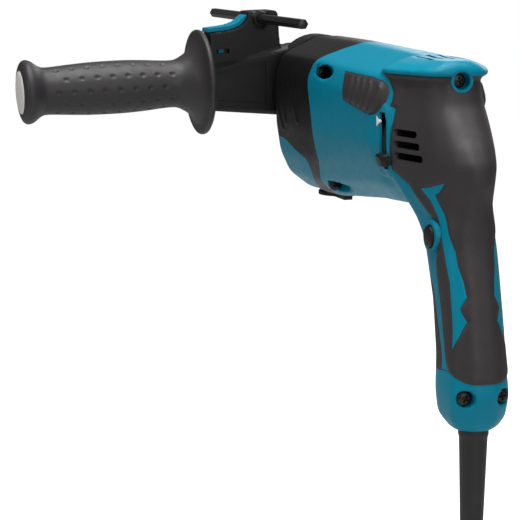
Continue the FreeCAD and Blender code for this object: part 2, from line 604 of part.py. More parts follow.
tube(fan, "fan_station", "fan_station + 1.5", "fan_radius", "shaft_radius", "motor_drop")
blade = sketch_on(fan, "YZ_Plane", out="fan_station", up="-motor_drop")
outline(blade, [("-0.7", "shaft_radius + 6"), ("-0.7", "fan_radius - 1"), ("0.7", "fan_radius - 1"),
                ("0.7", "shaft_radius + 6")])
around(fan, extrude(fan, blade, "fan_width"), "fan_blades", blade)

# ---- reversing brush ring -------------------------------------------------------------------------

brush_ring = new_body("brush_ring")
tube(brush_ring, "ring_front", "ring_front + ring_width", "ring_radius", "ring_bore", "motor_drop")
for turn_angle in ("0", "180"):
    holder = sketch_on(brush_ring, "YZ_Plane", out="brush_station - brush_width / 2 - 1.5", up="-motor_drop",
                       turned=turn_angle)
    outline(holder, [("-brush_high / 2 - 1.5", "comm_radius + 2.5"), ("-brush_high / 2 - 1.5", "ring_bore + 1"),
                     ("brush_high / 2 + 1.5", "ring_bore + 1"), ("brush_high / 2 + 1.5", "comm_radius + 2.5")])
    extrude(brush_ring, holder, "brush_width + 3")
    bore = sketch_on(brush_ring, "YZ_Plane", out="brush_station - brush_width / 2 - fit", up="-motor_drop",
                     turned=turn_angle)
    outline(bore, [("-brush_high / 2 - fit", "comm_radius - 3"), ("-brush_high / 2 - fit", "ring_bore"),
                   ("brush_high / 2 + fit", "ring_bore"), ("brush_high / 2 + fit", "comm_radius - 3")])
    extrude(brush_ring, bore, "brush_width + fit * 2", cut=True)
stem = sketch_on(brush_ring, "YZ_Plane", out="ring_front + ring_width - 5", up="-motor_drop",
                 turned="lever_angle")
outline(stem, [("-lever_radius + 1", "-lever_high / 3"), ("-lever_radius + 1", "lever_high / 3"),
               ("-ring_bore - 2", "lever_high / 3"), ("-ring_bore - 2", "-lever_high / 3")])
extrude(brush_ring, stem, "5")
lever = sketch_on(brush_ring, "YZ_Plane", out="ring_front + ring_width - 4", up="-motor_drop",
                  turned="lever_angle")
outline(lever, [("-lever_radius", "-lever_high / 2"), ("-lever_radius", "lever_high / 2"),
                ("-motor_room - 0.8", "lever_high / 2"), ("-motor_room - 0.8", "-lever_high / 2")])
extrude(brush_ring, lever, "lever_width")
brushes = new_body("brushes")
for turn_angle in ("0", "180"):
    carbon = sketch_on(brushes, "YZ_Plane", out="brush_station - brush_width / 2", up="-motor_drop",
                       turned=turn_angle)
    outline(carbon, [("-brush_high / 2", "comm_radius + 0.3"), ("-brush_high / 2", "ring_bore - 2"),
                     ("brush_high / 2", "ring_bore - 2"), ("brush_high / 2", "comm_radius + 0.3")])
    extrude(brushes, carbon, "brush_width")

# ---- hammer mechanism -----------------------------------------------------------------------------

mid_shaft = new_body("mid_shaft")
turned(mid_shaft, [("mid_front", "0"), ("mid_front", "mid_radius - 1"),
                   ("mid_front + race_width + 0.5", "mid_radius - 1"),
                   ("mid_front + race_width + 0.5", "mid_radius"), ("gear_rear - 0.5", "mid_radius"),
                   ("gear_rear - 0.5", "mid_radius - 1"), ("mid_rear - 5", "mid_radius - 1"),
                   ("mid_rear - 5", "0")], "mid_drop")
mid_gear = gear("mid_gear", "mid_gear_station", "mid_teeth", "mid_drop", "mid_radius")
drive_gear = gear("drive_gear", "drive_station", "drive_teeth", "mid_drop", "mid_radius")
mid_front_bearing = new_body("mid_front_bearing")
tube(mid_front_bearing, "mid_front", "mid_front + race_width", "mid_race", "mid_radius - 1 + fit", "mid_drop")
swash_hub = new_body("swash_hub")
ball = sketch_on(swash_hub, "XZ_Plane", across="swash_station", up="-mid_drop")
index = ball.addGeometry(Part.ArcOfCircle(Part.Circle(Vector(0, 0, 0), Vector(0, 0, 1), value("swash_ball")),
                                          0, math.pi), False)
ball.addGeometry(Part.LineSegment(Vector(-value("swash_ball"), 0, 0), Vector(value("swash_ball"), 0, 0)), False)
ball.addConstraint(Sketcher.Constraint("Coincident", 0, 3, -1, 1))
ball.addConstraint(Sketcher.Constraint("Coincident", 0, 2, 1, 1))
ball.addConstraint(Sketcher.Constraint("Coincident", 0, 1, 1, 2))
ball.addConstraint(Sketcher.Constraint("PointOnObject", 1, 1, -1))
ball.addConstraint(Sketcher.Constraint("PointOnObject", 1, 2, -1))
hold(ball, "Radius", (0,), "swash_ball")
turn(swash_hub, ball)
rod(swash_hub, "swash_station - 20", "swash_station - swash_width / 2", "swash_ball + 1", "mid_drop", cut=True)
rod(swash_hub, "swash_station + swash_width / 2", "swash_station + 20", "swash_ball + 1", "mid_drop", cut=True)
rod(swash_hub, "swash_station - 20", "swash_station + 20", "mid_radius", "mid_drop", cut=True)

swash_ring = new_body("swash_ring")
tube(swash_ring, "swash_station - swash_width / 2", "swash_station + swash_width / 2", "swash_ring",
     "swash_ball + play", "mid_drop")
arm = sketch_on(swash_ring, "XY_Plane", out="-mid_drop + swash_ring - 1.5")
circles(arm, [("swash_station", "0")], "swash_pin + 1.5")
extrude(swash_ring, arm, "9")
arm = sketch_on(swash_ring, "XY_Plane", out="-mid_drop + swash_ring")
circles(arm, [("swash_station", "0")], "swash_pin")
extrude(swash_ring, arm, "mid_drop - swash_ring + wrist_radius - 1")

wrist_pin = new_body("wrist_pin")
bar = sketch_on(wrist_pin, "XZ_Plane", out="-wrist_half")
circles(bar, [("swash_station", "0")], "wrist_radius")
extrude(wrist_pin, bar, "wrist_half * 2")
hole = sketch_on(wrist_pin, "XY_Plane", out="-wrist_radius - 1")
circles(hole, [("swash_station", "0")], "swash_pin + 0.15")
extrude(wrist_pin, hole, "wrist_radius * 2 + 2", cut=True)

piston = new_body("piston")
PISTON_RADIUS = "(cylinder_bore - play)"
turned(piston, [("piston_front", "0"), ("piston_front", PISTON_RADIUS), ("piston_rear", PISTON_RADIUS),
                ("piston_rear", PISTON_RADIUS + " - piston_wall"),
                ("piston_front + piston_crown", PISTON_RADIUS + " - piston_wall"),
                ("piston_front + piston_crown", "0")])
eye = sketch_on(piston, "XZ_Plane", out="-cylinder_bore - 1")
circles(eye, [("swash_station", "0")], "wrist_radius + fit")
extrude(piston, eye, "(cylinder_bore + 1) * 2", cut=True)
slot = sketch_on(piston, "XY_Plane", out="-cylinder_bore - 1")
outline(slot, [("swash_station - wrist_slot", "-swash_pin - 1"), ("swash_station - wrist_slot", "swash_pin + 1"),
               ("swash_station + wrist_slot", "swash_pin + 1"), ("swash_station + wrist_slot", "-swash_pin - 1")])
extrude(piston, slot, "cylinder_bore", cut=True)

striker = new_body("striker")
rod(striker, "striker_front + 4", "striker_front + striker_length", "cylinder_bore - play")
rod(striker, "striker_front", "striker_front + 5", "bolt_stub")
turned(striker, [("striker_front + 9", "cylinder_bore - 2"), ("striker_front + 9", "cylinder_bore + 2"),
                 ("striker_front + 12", "cylinder_bore + 2"), ("striker_front + 12", "cylinder_bore - 2")], cut=True)
striker_seal = new_body("striker_seal")
tube(striker_seal, "striker_front + 9", "striker_front + 12", "cylinder_bore - play / 2", "cylinder_bore - 2")

impact_bolt = new_body("impact_bolt")
turned(impact_bolt, [("-bolt_front", "0"), ("-bolt_front", "bolt_tip"), ("-bolt_shoulder", "bolt_tip"),
                     ("-bolt_shoulder + 4", "bolt_radius"), ("bolt_rear", "bolt_radius"),
                     ("bolt_rear", "bolt_stub"), ("bolt_rear + 4", "bolt_stub"), ("bolt_rear + 4", "0")])

spindle = new_body("spindle")
turned(spindle, [("-holder_front", "bit_radius"), ("-holder_front", "holder_radius"),
                 ("-spring_seat", "holder_radius"), ("-spring_seat", "spring_radius + 1.5"),
                 ("-spring_seat + 1.5", "spring_radius + 1.5"), ("-spring_seat + 1.5", "holder_radius"),
                 ("-cylinder_front", "holder_radius"), ("-cylinder_front + 4", "cylinder_radius"),
                 ("cylinder_rear", "cylinder_radius"), ("cylinder_rear", "cylinder_bore"),
                 ("bolt_rear + 4", "cylinder_bore"), ("bolt_rear + 2.5", "bolt_radius + play"),
                 ("-bolt_shoulder + 4 - play", "bolt_radius + play"),
                 ("-bolt_shoulder - play", "bit_radius + play"),
                 ("-bolt_front - play", "bit_radius + play"), ("-bolt_front - play", "bit_radius")])
pocket = sketch_on(spindle, "XY_Plane", out="-holder_radius - 1", across="-ball_station")
circles(pocket, [("0", "0")], "ball_radius + fit")
extrude(spindle, pocket, "holder_radius * 2 + 2", cut=True)

locking_balls = doc.addObject("Part::Compound", "locking_balls")
locking_balls.Label = "locking_balls"
balls = []
for side in ("", "-"):
    ball = doc.addObject("Part::Sphere", "locking_ball")
    ball.setExpression("Radius", link("ball_radius"))
    ball.setExpression("Placement.Base.x", link("-ball_station"))
    ball.setExpression("Placement.Base.z", link(side + "ball_centre"))
    balls.append(ball)
locking_balls.Links = balls
locking_balls.setExpression("Placement.Base.x", link("-grip_reach"))
locking_balls.setExpression("Placement.Base.z", link("grip_drop"))
parts.append(locking_balls)

spindle_gear = gear("spindle_gear", "drive_station", "spindle_teeth", "0", "cylinder_radius", half_pitch=True)
spindle_bearing = new_body("spindle_bearing")
tube(spindle_bearing, "0 - needle_width / 2", "needle_width / 2", "barrel_bore - fit", "cylinder_radius + fit")
spindle_steady = new_body("spindle_rear_bearing")
tube(spindle_steady, "steady_station", "steady_station + steady_width", "spindle_room - fit",
     "cylinder_radius + fit")
oil_seal = new_body("oil_seal")
tube(oil_seal, "-barrel_front + 0.5", "-barrel_front + 0.5 + seal_width", "barrel_bore - fit", "holder_radius + fit")

dust_cap = new_body("dust_cap")
turned(dust_cap, [("-cap_front", "bit_radius + 1"), ("-cap_front", "cap_radius - 4"),
                  ("-cap_front + 4", "cap_radius"), ("-cap_rear", "cap_radius"),
                  ("-cap_rear", "holder_radius + fit"), ("-holder_front - fit", "holder_radius + fit"),
                  ("-holder_front - fit", "bit_radius + 1")])
chuck_cover = new_body("chuck_cover")
turned(chuck_cover, [("-sleeve_front", "cap_radius + 1"), ("-sleeve_front", "sleeve_nose"),
                     ("-sleeve_front + 4", "sleeve_nose + 1.5"), ("-spring_front - 4", "sleeve_radius - 1.5"),
                     ("-sleeve_rear - 4", "sleeve_radius"), ("-sleeve_rear", "sleeve_radius"),
                     ("-sleeve_rear", "sleeve_radius - sleeve_wall"),
                     ("-spring_front", "sleeve_radius - sleeve_wall - 1"),
                     ("-spring_front", "holder_radius + play"), ("-spring_front - 2.5", "holder_radius + play"),
                     ("-spring_front - 2.5", "sleeve_nose - sleeve_wall"),
                     ("-sleeve_front + 2", "sleeve_nose - sleeve_wall")])
chuck_spring = new_body("chuck_spring")
wire = sketch_on(chuck_spring, "XZ_Plane")
outline(wire, [("-spring_front + 0.2", "spring_radius - spring_wire"), ("-spring_front + 0.2", "spring_radius"),
               ("-spring_front + 0.2 + spring_wire", "spring_radius"),
               ("-spring_front + 0.2 + spring_wire", "spring_radius - spring_wire")])
coil = feature(chuck_spring, "AdditiveHelix", wire)
coil.ReferenceAxis = (wire, ["H_Axis"])
coil.Mode = 1
coil.setExpression("Pitch", link("(spring_front - spring_seat - 0.4 - spring_wire) / spring_turns"))
coil.setExpression("Turns", link("spring_turns"))

# ---- knob, trigger, switch and lock button --------------------------------------------------------

mode_knob = new_body("mode_knob")
disc = sketch_on(mode_knob, "XY_Plane", out="-gear_bottom - play - knob_high / 2")
circles(disc, [("knob_station", "0")], "knob_radius")
extrude(mode_knob, disc, "knob_high / 2")
bar = sketch_on(mode_knob, "XY_Plane", out="-gear_bottom - play - knob_high")
outline(bar, [("knob_station - knob_radius + 1", "-knob_grip"), ("knob_station - knob_radius + 1", "knob_grip"),
              ("knob_station + knob_radius - 1", "knob_grip"), ("knob_station + knob_radius - 1", "-knob_grip")])
extrude(mode_knob, bar, "knob_high")
stem = sketch_on(mode_knob, "XY_Plane", out="-gear_bottom - play")
circles(stem, [("knob_station", "0")], "knob_grip")
extrude(mode_knob, stem, "3.5")

trigger = new_body("trigger")
side = sketch_on(trigger, "XZ_Plane")
outline(side, [("trigger_top_station", "-trigger_top"),
               ("(trigger_top_station + trigger_low_station) / 2 + 1.5", "-(trigger_top + trigger_drop) / 2"),
               ("trigger_low_station", "-trigger_drop"),
               ("trigger_low_station + trigger_depth + 4", "-trigger_drop"),
               ("trigger_low_station + trigger_depth + 4", "-trigger_top")])
extrude(trigger, side, "trigger_half * 2", both=True)
switch_body = new_body("switch_body")
case = sketch_on(switch_body, "XZ_Plane")
outline(case, [("switch_station", "-switch_top"), ("switch_station + switch_depth", "-switch_top"),
               ("switch_station + switch_depth", "-switch_top - switch_high * 0.6"),
               ("switch_station + switch_depth + 3", "-switch_top - switch_high"),
               ("switch_station + 6", "-switch_top - switch_high")])
extrude(switch_body, case, "switch_half * 2", both=True)
ribs = sketch_on(switch_body, "XZ_Plane")
outline(ribs, [("switch_station + 2", "-neck_drop - 2"), ("switch_station + 6", "-neck_drop - 2"),
               ("switch_station + 6", "-neck_drop - 5"), ("switch_station + 2", "-neck_drop - 5")])
extrude(switch_body, ribs, "(neck_half - skin - wall - play * 2) * 2", both=True)
lock_button = new_body("lock_button")
cap = sketch_on(lock_button, "XZ_Plane", out="switch_half + play + button_travel")
circles(cap, [("button_station", "-button_drop")], "button_radius")
extrude(lock_button, cap, "neck_half - switch_half - play - button_travel + button_proud")

# ---- side handle and depth rod --------------------------------------------------------------------

handle_base = new_body("side_handle_base", tilted=True)
tube(handle_base, "-ring_half", "ring_half", "ring_outer", "seat_radius + fit")
root = sketch_on(handle_base, "XZ_Plane", out="arm_root")
outline(root, [("-arm_root_half", "arm_root_top"), ("arm_root_half", "arm_root_top"),
               ("arm_root_half", "-arm_root_drop"), ("-arm_root_half", "-arm_root_drop")])
tip = sketch_on(handle_base, "XZ_Plane", out="flange_start - play")
outline(tip, [("-arm_end_half", "arm_end_top"), ("arm_end_half", "arm_end_top"),
              ("arm_end_half", "-arm_end_drop"), ("-arm_end_half", "-arm_end_drop")])
loft(handle_base, [root, tip])
block = sketch_on(handle_base, "YZ_Plane", out="-ring_half")
outline(block, [("-block_side", "arm_root_top - 3"), ("-block_side", "block_high - 2"),
                ("-block_side - 3", "block_high"), ("-rod_side - 5", "block_high"),
                ("-rod_side - 12", "block_high - 8"), ("-lock_reach", "block_high - 13.5"),
                ("-arm_end + 3", "block_high - 16"), ("-arm_end + 1", "arm_end_top - 2"),
                ("-arm_root - 14", "arm_root_top - 6")])
extrude(handle_base, block, "ring_half * 2")
ROD_POINTS = [("-rod_side %s" % across, "rod_high %s" % up) for across, up in
              (("- rod_flat", ""), ("- rod_flat / 2", "+ rod_half"), ("+ rod_flat / 2", "+ rod_half"),
               ("+ rod_flat", ""), ("+ rod_flat / 2", "- rod_half"), ("- rod_flat / 2", "- rod_half"))]


def hexagon(sketch, across):
    """A hexagon about the depth rod's line, of the given width across its flats."""
    half = "(%s) / 2" % across
    corner = "(%s) / sqrt(3)" % across
    return outline(sketch, [(x.replace("rod_flat", corner).replace("rod_half", half),
                             y.replace("rod_half", half)) for x, y in ROD_POINTS])


rod_way = hexagon(sketch_on(handle_base, "YZ_Plane", out="-ring_half - 5"), "rod_across + play")
extrude(handle_base, rod_way, "ring_half * 2 + 10", cut=True)
for side in ("", "-"):
    panel = []
    for reach, depth, top, low in (("arm_root + 14", "arm_root_half - panel_depth - 1", "13", "17"),
                                   ("arm_end - 4", "arm_end_half - panel_depth", "7", "13")):
        face = sketch_on(handle_base, "XZ_Plane", out=reach)
        panel.append(outline(face, [("%s(%s)" % (side, depth), top), ("%s(%s + 9)" % (side, depth), top),
                                    ("%s(%s + 9)" % (side, depth), "-" + low), ("%s(%s)" % (side, depth), "-" + low)]))
    loft(handle_base, panel, cut=True)
window = sketch_on(handle_base, "YZ_Plane")
outline(window, [("-arm_end + 3", "17"), ("-arm_end + 3", "20"), ("-arm_end + 12", "20"), ("-arm_end + 12", "17")])
extrude(handle_base, window, "ring_half * 2 + 10", cut=True, both=True)
bolt_way = sketch_on(handle_base, "XZ_Plane", out="seat_radius + 2")
circles(bolt_way, [("0", "0")], "bolt_shank + fit")
extrude(handle_base, bolt_way, "flange_start", cut=True)
head_way = sketch_on(handle_base, "XZ_Plane", out="seat_radius + 4")
circles(head_way, [("0", "0")], "bolt_head + play")
extrude(handle_base, head_way, "bolt_start - seat_radius - 4 + bolt_shank", cut=True)

depth_rod = new_body("depth_rod", tilted=True)
extrude(depth_rod, hexagon(sketch_on(depth_rod, "YZ_Plane", out="-rod_front"), "rod_across"),
        "rod_front + rod_rear")
rod_lock = new_body("depth_rod_lock", tilted=True)
lever = sketch_on(rod_lock, "YZ_Plane", out="-ring_half + 2")
outline(lever, [("-rod_side - 5", "block_high + 2.6"), ("-rod_side - 12", "block_high - 3.5"),
                ("-lock_reach", "block_high - 9"), ("-arm_end + 5", "block_high - 11"),
                ("-arm_end + 5", "block_high - 13.7"), ("-lock_reach", "block_high - 11.5"),
                ("-rod_side - 12", "block_high - 6"), ("-rod_side - 5", "block_high + 0.4")])
extrude(rod_lock, lever, "ring_half * 2 - 4")
hinge = sketch_on(rod_lock, "YZ_Plane", out="-ring_half + 2")
circles(hinge, [("-rod_side - 5", "block_high + 1.9")], "hinge_radius")
extrude(rod_lock, hinge, "ring_half * 2 - 4")

clamp_bolt = new_body("clamp_bolt", tilted=True)
head = sketch_on(clamp_bolt, "XZ_Plane", out="bolt_start")
circles(head, [("0", "0")], "bolt_head")
extrude(clamp_bolt, head, "bolt_shank")
shank = sketch_on(clamp_bolt, "XZ_Plane", out="bolt_start")
circles(shank, [("0", "0")], "bolt_shank")
extrude(clamp_bolt, shank, "bolt_end - bolt_start")


def turned_out(body, stations, cut=False):
    """A shape turned about the side handle's own line, from pairs of reach and radius."""
    return turn(body, outline(sketch_on(body, "YZ_Plane"), [("-(%s)" % out, r) for out, r in stations]), cut)


side_grip = new_body("side_grip", tilted=True)
turned_out(side_grip, [("flange_start", "bolt_shank + play"), ("flange_start", "flange_radius - 1"),
                       ("flange_start + 1", "flange_radius"),
                       ("flange_start + flange_width_out", "flange_radius"),
                       ("flange_start + flange_width_out + 2", "flange_radius - 7"),
                       ("flange_start + neck_length / 2 - 2", "neck_radius + 6"),
                       ("flange_start + neck_length - 4", "neck_radius + 1.2"),
                       ("flange_start + neck_length", "neck_radius"),
                       ("(flange_start + neck_length + grip_end - 15) / 2", "belly_radius"),
                       ("grip_end - 15", "neck_radius"), ("grip_end - 9", "bulge_radius - 1.5"),
                       ("grip_end - 5", "bulge_radius"), ("grip_end - 1", "bulge_radius - 3"),
                       ("grip_end", "disc_radius + 1"), ("grip_end", "disc_radius + fit"),
                       ("grip_end - 2", "disc_radius + fit"), ("grip_end - 2", "0"),
                       ("bolt_end + 4", "0"), ("bolt_end + 4", "bolt_shank + play")])
grip_disc = new_body("grip_end_disc", tilted=True)
turned_out(grip_disc, [("grip_end - 2", "0"), ("grip_end - 2", "disc_radius"), ("grip_end", "disc_radius"),
                       ("grip_end + 1", "disc_radius - 3"), ("grip_end + 1.2", "0")])

# ---- cord -----------------------------------------------------------------------------------------

cord_guard = new_body("cord_guard")
sleeve = sketch_on(cord_guard, "XZ_Plane", across="sole_split")
LOW_END = "-sole_drop - guard_length"
outline(sleeve, [("0", "-sole_drop + guard_seat"), ("guard_top_radius", "-sole_drop + guard_seat"),
                 ("guard_top_radius", "-sole_drop - 4"), ("guard_low_radius", LOW_END), ("0", LOW_END)])
turn(cord_guard, sleeve, axis="V_Axis")
cord_clamp = new_body("cord_clamp")
bridge = sketch_on(cord_clamp, "XY_Plane", out="-heel_drop + fit")
outline(bridge, [("sole_split - 7", "-8"), ("sole_split + 4.5", "-8"), ("sole_split + 4.5", "8"),
                 ("sole_split - 7", "8")])
extrude(cord_clamp, bridge, "5")
bridge_hole = sketch_on(cord_clamp, "XY_Plane", out="-heel_drop - 1")
circles(bridge_hole, [("sole_split", "0")], "cord_radius")
extrude(cord_clamp, bridge_hole, "8", cut=True)

# The cord hangs straight from its guard, is wound into a coil for storage and ends in its plug.
LEAD_LENGTH = 30
COIL_DROP = 36
COIL_CENTRE = Vector(SIZES["sole_split"] - SIZES["coil_radius"], 0,
                     -SIZES["sole_drop"] - SIZES["guard_length"] - LEAD_LENGTH - COIL_DROP)
TAIL_SIDE = Vector(SIZES["coil_radius"] + 8, -5, 0)
TAIL_TOP, TAIL_LOW = 22, 40

cord = new_body("cord")
run = sketch_on(cord, "XY_Plane", out=LOW_END + " - %g" % LEAD_LENGTH)
circles(run, [("sole_split", "0")], "cord_radius")
extrude(cord, run, "%g" % LEAD_LENGTH)
tail = sketch_on(cord, "XY_Plane", out="%g" % (COIL_CENTRE.z - TAIL_LOW))
circles(tail, [("%g" % (COIL_CENTRE.x + TAIL_SIDE.x), "%g" % TAIL_SIDE.y)], "cord_radius")
extrude(cord, tail, "%g" % (TAIL_LOW - TAIL_TOP))
cord_coil = doc.addObject("Part::Torus", "cord_coil")
cord_coil.setExpression("Radius1", link("coil_radius"))
cord_coil.setExpression("Radius2", link("coil_thick"))
cord_coil.Placement.Rotation = FreeCAD.Rotation(Vector(1, 0, 0), 90)
cord_coil.setExpression("Placement.Base.x", link("-grip_reach + sole_split - coil_radius"))
cord_coil.setExpression("Placement.Base.z", link("grip_drop - sole_drop - guard_length - %g"
                                                 % (LEAD_LENGTH + COIL_DROP)))
parts.append(cord_coil)
plug = new_body("plug")
shell = sketch_on(plug, "XZ_Plane", out="%g" % -TAIL_SIDE.y, across="%g" % (COIL_CENTRE.x + TAIL_SIDE.x),
                  up="%g" % (COIL_CENTRE.z - TAIL_LOW))
outline(shell, [("0", "0"), ("cord_radius + 1.5", "0"), ("cord_radius + 2.5", "-14"),
                ("plug_radius - 3", "-22"), ("plug_radius", "-28"), ("plug_radius", "-plug_length + 2"),
                ("plug_radius - 2", "-plug_length"), ("0", "-plug_length")])
turn(plug, shell, axis="V_Axis")
for side in ("-9.5", "9.5"):
    pin = sketch_on(plug, "XY_Plane", out="%g - plug_length - 19" % (COIL_CENTRE.z - TAIL_LOW))
    circles(pin, [("%g + %s" % (COIL_CENTRE.x + TAIL_SIDE.x, side), "%g" % TAIL_SIDE.y)], "2.4")
    extrude(plug, pin, "20")
cord_tie = new_body("cord_tie")
band = sketch_on(cord_tie, "YZ_Plane", out="%g - 4" % COIL_CENTRE.x, up="%g + coil_radius" % COIL_CENTRE.z)
circles(band, [("0", "0")], "coil_thick + 2")
circles(band, [("0", "0")], "coil_thick + 0.4")
extrude(cord_tie, band, "8")

doc.recompute()
for item in doc.Objects:
    if "Invalid" in item.State or "Error" in item.State:
        raise RuntimeError("%s was not made: %s" % (item.Name, item.State))
os.makedirs("parts", exist_ok=True)
for item in parts:
    if item.Shape.isNull() or not item.Shape.isValid() or not item.Shape.Solids:
        raise RuntimeError("%s has no sound solid" % item.Label)
    item.Shape.exportStep("parts/%s.step" % item.Label)
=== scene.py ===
import math

import bmesh
import bpy
import numpy as np
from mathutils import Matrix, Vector


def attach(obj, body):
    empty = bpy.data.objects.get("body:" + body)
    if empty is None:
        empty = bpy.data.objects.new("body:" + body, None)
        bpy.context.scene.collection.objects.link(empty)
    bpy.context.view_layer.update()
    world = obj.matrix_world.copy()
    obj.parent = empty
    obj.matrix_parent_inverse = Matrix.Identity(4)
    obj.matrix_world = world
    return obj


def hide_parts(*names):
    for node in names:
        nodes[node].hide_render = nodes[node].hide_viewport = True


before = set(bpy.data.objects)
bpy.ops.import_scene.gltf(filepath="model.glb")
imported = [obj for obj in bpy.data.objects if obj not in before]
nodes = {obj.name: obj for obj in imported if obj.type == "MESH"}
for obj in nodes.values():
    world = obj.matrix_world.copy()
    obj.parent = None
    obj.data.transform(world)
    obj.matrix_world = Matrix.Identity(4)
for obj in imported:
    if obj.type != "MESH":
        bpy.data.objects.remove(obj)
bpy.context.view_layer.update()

# Places are in millimetres: a station along the drill axis, counted back from the side handle's middle,
# a distance to the right of it (the side handle is on the left, below 0) and a height over it.
MM = 0.001
REACH, DROP = 240 * MM, 90 * MM        # station 0 and the drill axis, from the object's own origin
MOTOR_DROP = 24                        # the motor's axis below the drill axis
TILT = math.radians(1.9)               # the side handle's swing about the drill axis
FAR = 75                               # past the body's side, for cutters that go right through
SEAM = 0.35                            # gap left around a moulding
CAP_SCREW_HEIGHT = 13
LOCK_STATION, LOCK_HEIGHT = 240, -74   # the trigger lock's middle
ROD_SIDE, ROD_HEIGHT = -44, 40.8       # the depth rod's middle, in the side handle's block
FLOOR_HEIGHT = -0.3565                 # in metres, just under the plug


def at(station, side, height):
    """A point given in millimetres about the drill axis, in the object's own frame."""
    return Vector((station * MM - REACH, side * MM, height * MM + DROP))


def tilted(station, side, height):
    """The same for a point of the side handle, which is swung about the drill axis."""
    y, z = side * math.cos(TILT) - height * math.sin(TILT), side * math.sin(TILT) + height * math.cos(TILT)
    return at(station, y, z)


# ---- camera --------------------------------------------------------------------------------------

lens = bpy.data.cameras.new("camera")
lens.lens, lens.sensor_width = 127.4, 36
camera = bpy.data.objects.new("camera", lens)
camera.location = (0.9478, -0.4282, 0.1818)
camera.rotation_euler = (math.radians(80.1), 0, math.radians(72))
bpy.context.scene.collection.objects.link(camera)
bpy.context.scene.camera = camera

# ---- cord ----------------------------------------------------------------------------------------

# places of the cord are in millimetres in the object's own frame
CORD_RADIUS = 4.2
COIL_RADIUS = 55.4
TURN_POINTS = 16
CROSS_START, CROSS_TURN = 2.2, 3.2     # where a turn moves to the next lane, in radians
EXIT = (22, 0, -180)
COIL_MIDDLE = (-31, -246)
# place of each turn in the bundle, outwards and sideways, in diameters
LANES = [(0.5, 0.866), (1, 0), (0, 0), (-0.5, 0.866), (-1, 0), (-0.5, -0.866), (0.5, -0.866)]


def cord_route():
    """The lead down from the guard, the turns side by side in a bundle, and the tail to the plug."""
    thick = 2 * CORD_RADIUS
    points = [EXIT, (22, 0, -190), (22, 1, -205), (23.5, 4, -222), (25.5, 6.5, -234)]
    turns = len(LANES)
    for step in range(turns * TURN_POINTS + 1):
        turn, angle = step // TURN_POINTS, 2 * math.pi * (step % TURN_POINTS) / TURN_POINTS
        here = LANES[min(turn, turns - 1)]
        there = LANES[min(turn + 1, turns - 1)]
        share = min(max((angle - CROSS_START) / CROSS_TURN, 0), 1)
        share = share * share * (3 - 2 * share)
        radial = here[0] + (there[0] - here[0]) * share
        side = here[1] + (there[1] - here[1]) * share
        reach = COIL_RADIUS + radial * thick
        points.append((COIL_MIDDLE[0] + reach * math.cos(angle), side * thick,
                       COIL_MIDDLE[1] - reach * math.sin(angle)))
    points += [(29.5, -6.2, -262), (30, -5, -272), (30, -5, -287)]
    return [Vector(p) * MM for p in points]


route = cord_route()
line = bpy.data.curves.new("power_cord", "CURVE")
line.dimensions = "3D"
spline = line.splines.new("NURBS")
spline.points.add(len(route) - 1)
for point, place in zip(spline.points, route):
    point.co = (*place, 1)
    point.radius = CORD_RADIUS * MM
spline.order_u = 3
spline.use_endpoint_u = True
line.bevel_depth = 1
line.bevel_resolution = 6
line.use_fill_caps = True
power_cord = bpy.data.objects.new("power_cord", line)
bpy.context.scene.collection.objects.link(power_cord)
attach(power_cord, "housing")
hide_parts("cord", "cord_coil")

# ---- finishes ------------------------------------------------------------------------------------


def linear(colour):
    """An 0 to 255 colour as the shader's numbers."""
    def one(c):
        c /= 255
        return c / 12.92 if c <= 0.04045 else ((c + 0.055) / 1.055) ** 2.4
    return tuple(one(c) for c in colour) + (1,)


def finish(name, colour, rough, metal=0.0, grain=1500, relief=0.1, spread=0.05, stretch=(1, 1, 1), gloss=0.5):
    """A finish with slow changes of colour, uneven roughness and a fine grain of real size."""
    made = bpy.data.materials.new(name)
    made.use_nodes = True
    tree = made.node_tree
    shader = tree.nodes["Principled BSDF"]
    shader.inputs["Metallic"].default_value = metal
    shader.inputs["Specular IOR Level"].default_value = gloss
    place = tree.nodes.new("ShaderNodeTexCoord")
    scale = tree.nodes.new("ShaderNodeMapping")
    scale.inputs["Scale"].default_value = stretch
    tree.links.new(place.outputs["Object"], scale.inputs["Vector"])

    def noise(size, detail):
        node = tree.nodes.new("ShaderNodeTexNoise")
        node.inputs["Scale"].default_value = size
        node.inputs["Detail"].default_value = detail
        tree.links.new(scale.outputs["Vector"], node.inputs["Vector"])
        return node

    broad, fine, worn = noise(28, 3), noise(grain, 2), noise(210, 5)
    mix = tree.nodes.new("ShaderNodeMix")
    mix.data_type = "RGBA"
    base = linear(colour)
    mix.inputs["A"].default_value = tuple(c * (1 - spread) for c in base[:3]) + (1,)
    mix.inputs["B"].default_value = tuple(min(1, c * (1 + spread) + spread * 0.01) for c in base[:3]) + (1,)
    tree.links.new(broad.outputs["Fac"], mix.inputs["Factor"])
    tree.links.new(mix.outputs["Result"], shader.inputs["Base Color"])
    level = tree.nodes.new("ShaderNodeMapRange")
    level.inputs["From Min"].default_value, level.inputs["From Max"].default_value = 0.3, 0.7
    level.inputs["To Min"].default_value = max(0.03, rough - 0.06)
    level.inputs["To Max"].default_value = min(1.0, rough + 0.06)
    tree.links.new(worn.outputs["Fac"], level.inputs["Value"])
    tree.links.new(level.outputs["Result"], shader.inputs["Roughness"])
    bump = tree.nodes.new("ShaderNodeBump")
    bump.inputs["Strength"].default_value = relief
    bump.inputs["Distance"].default_value = 0.15 * MM
    tree.links.new(fine.outputs["Fac"], bump.inputs["Height"])
    tree.links.new(bump.outputs["Normal"], shader.inputs["Normal"])
    return made


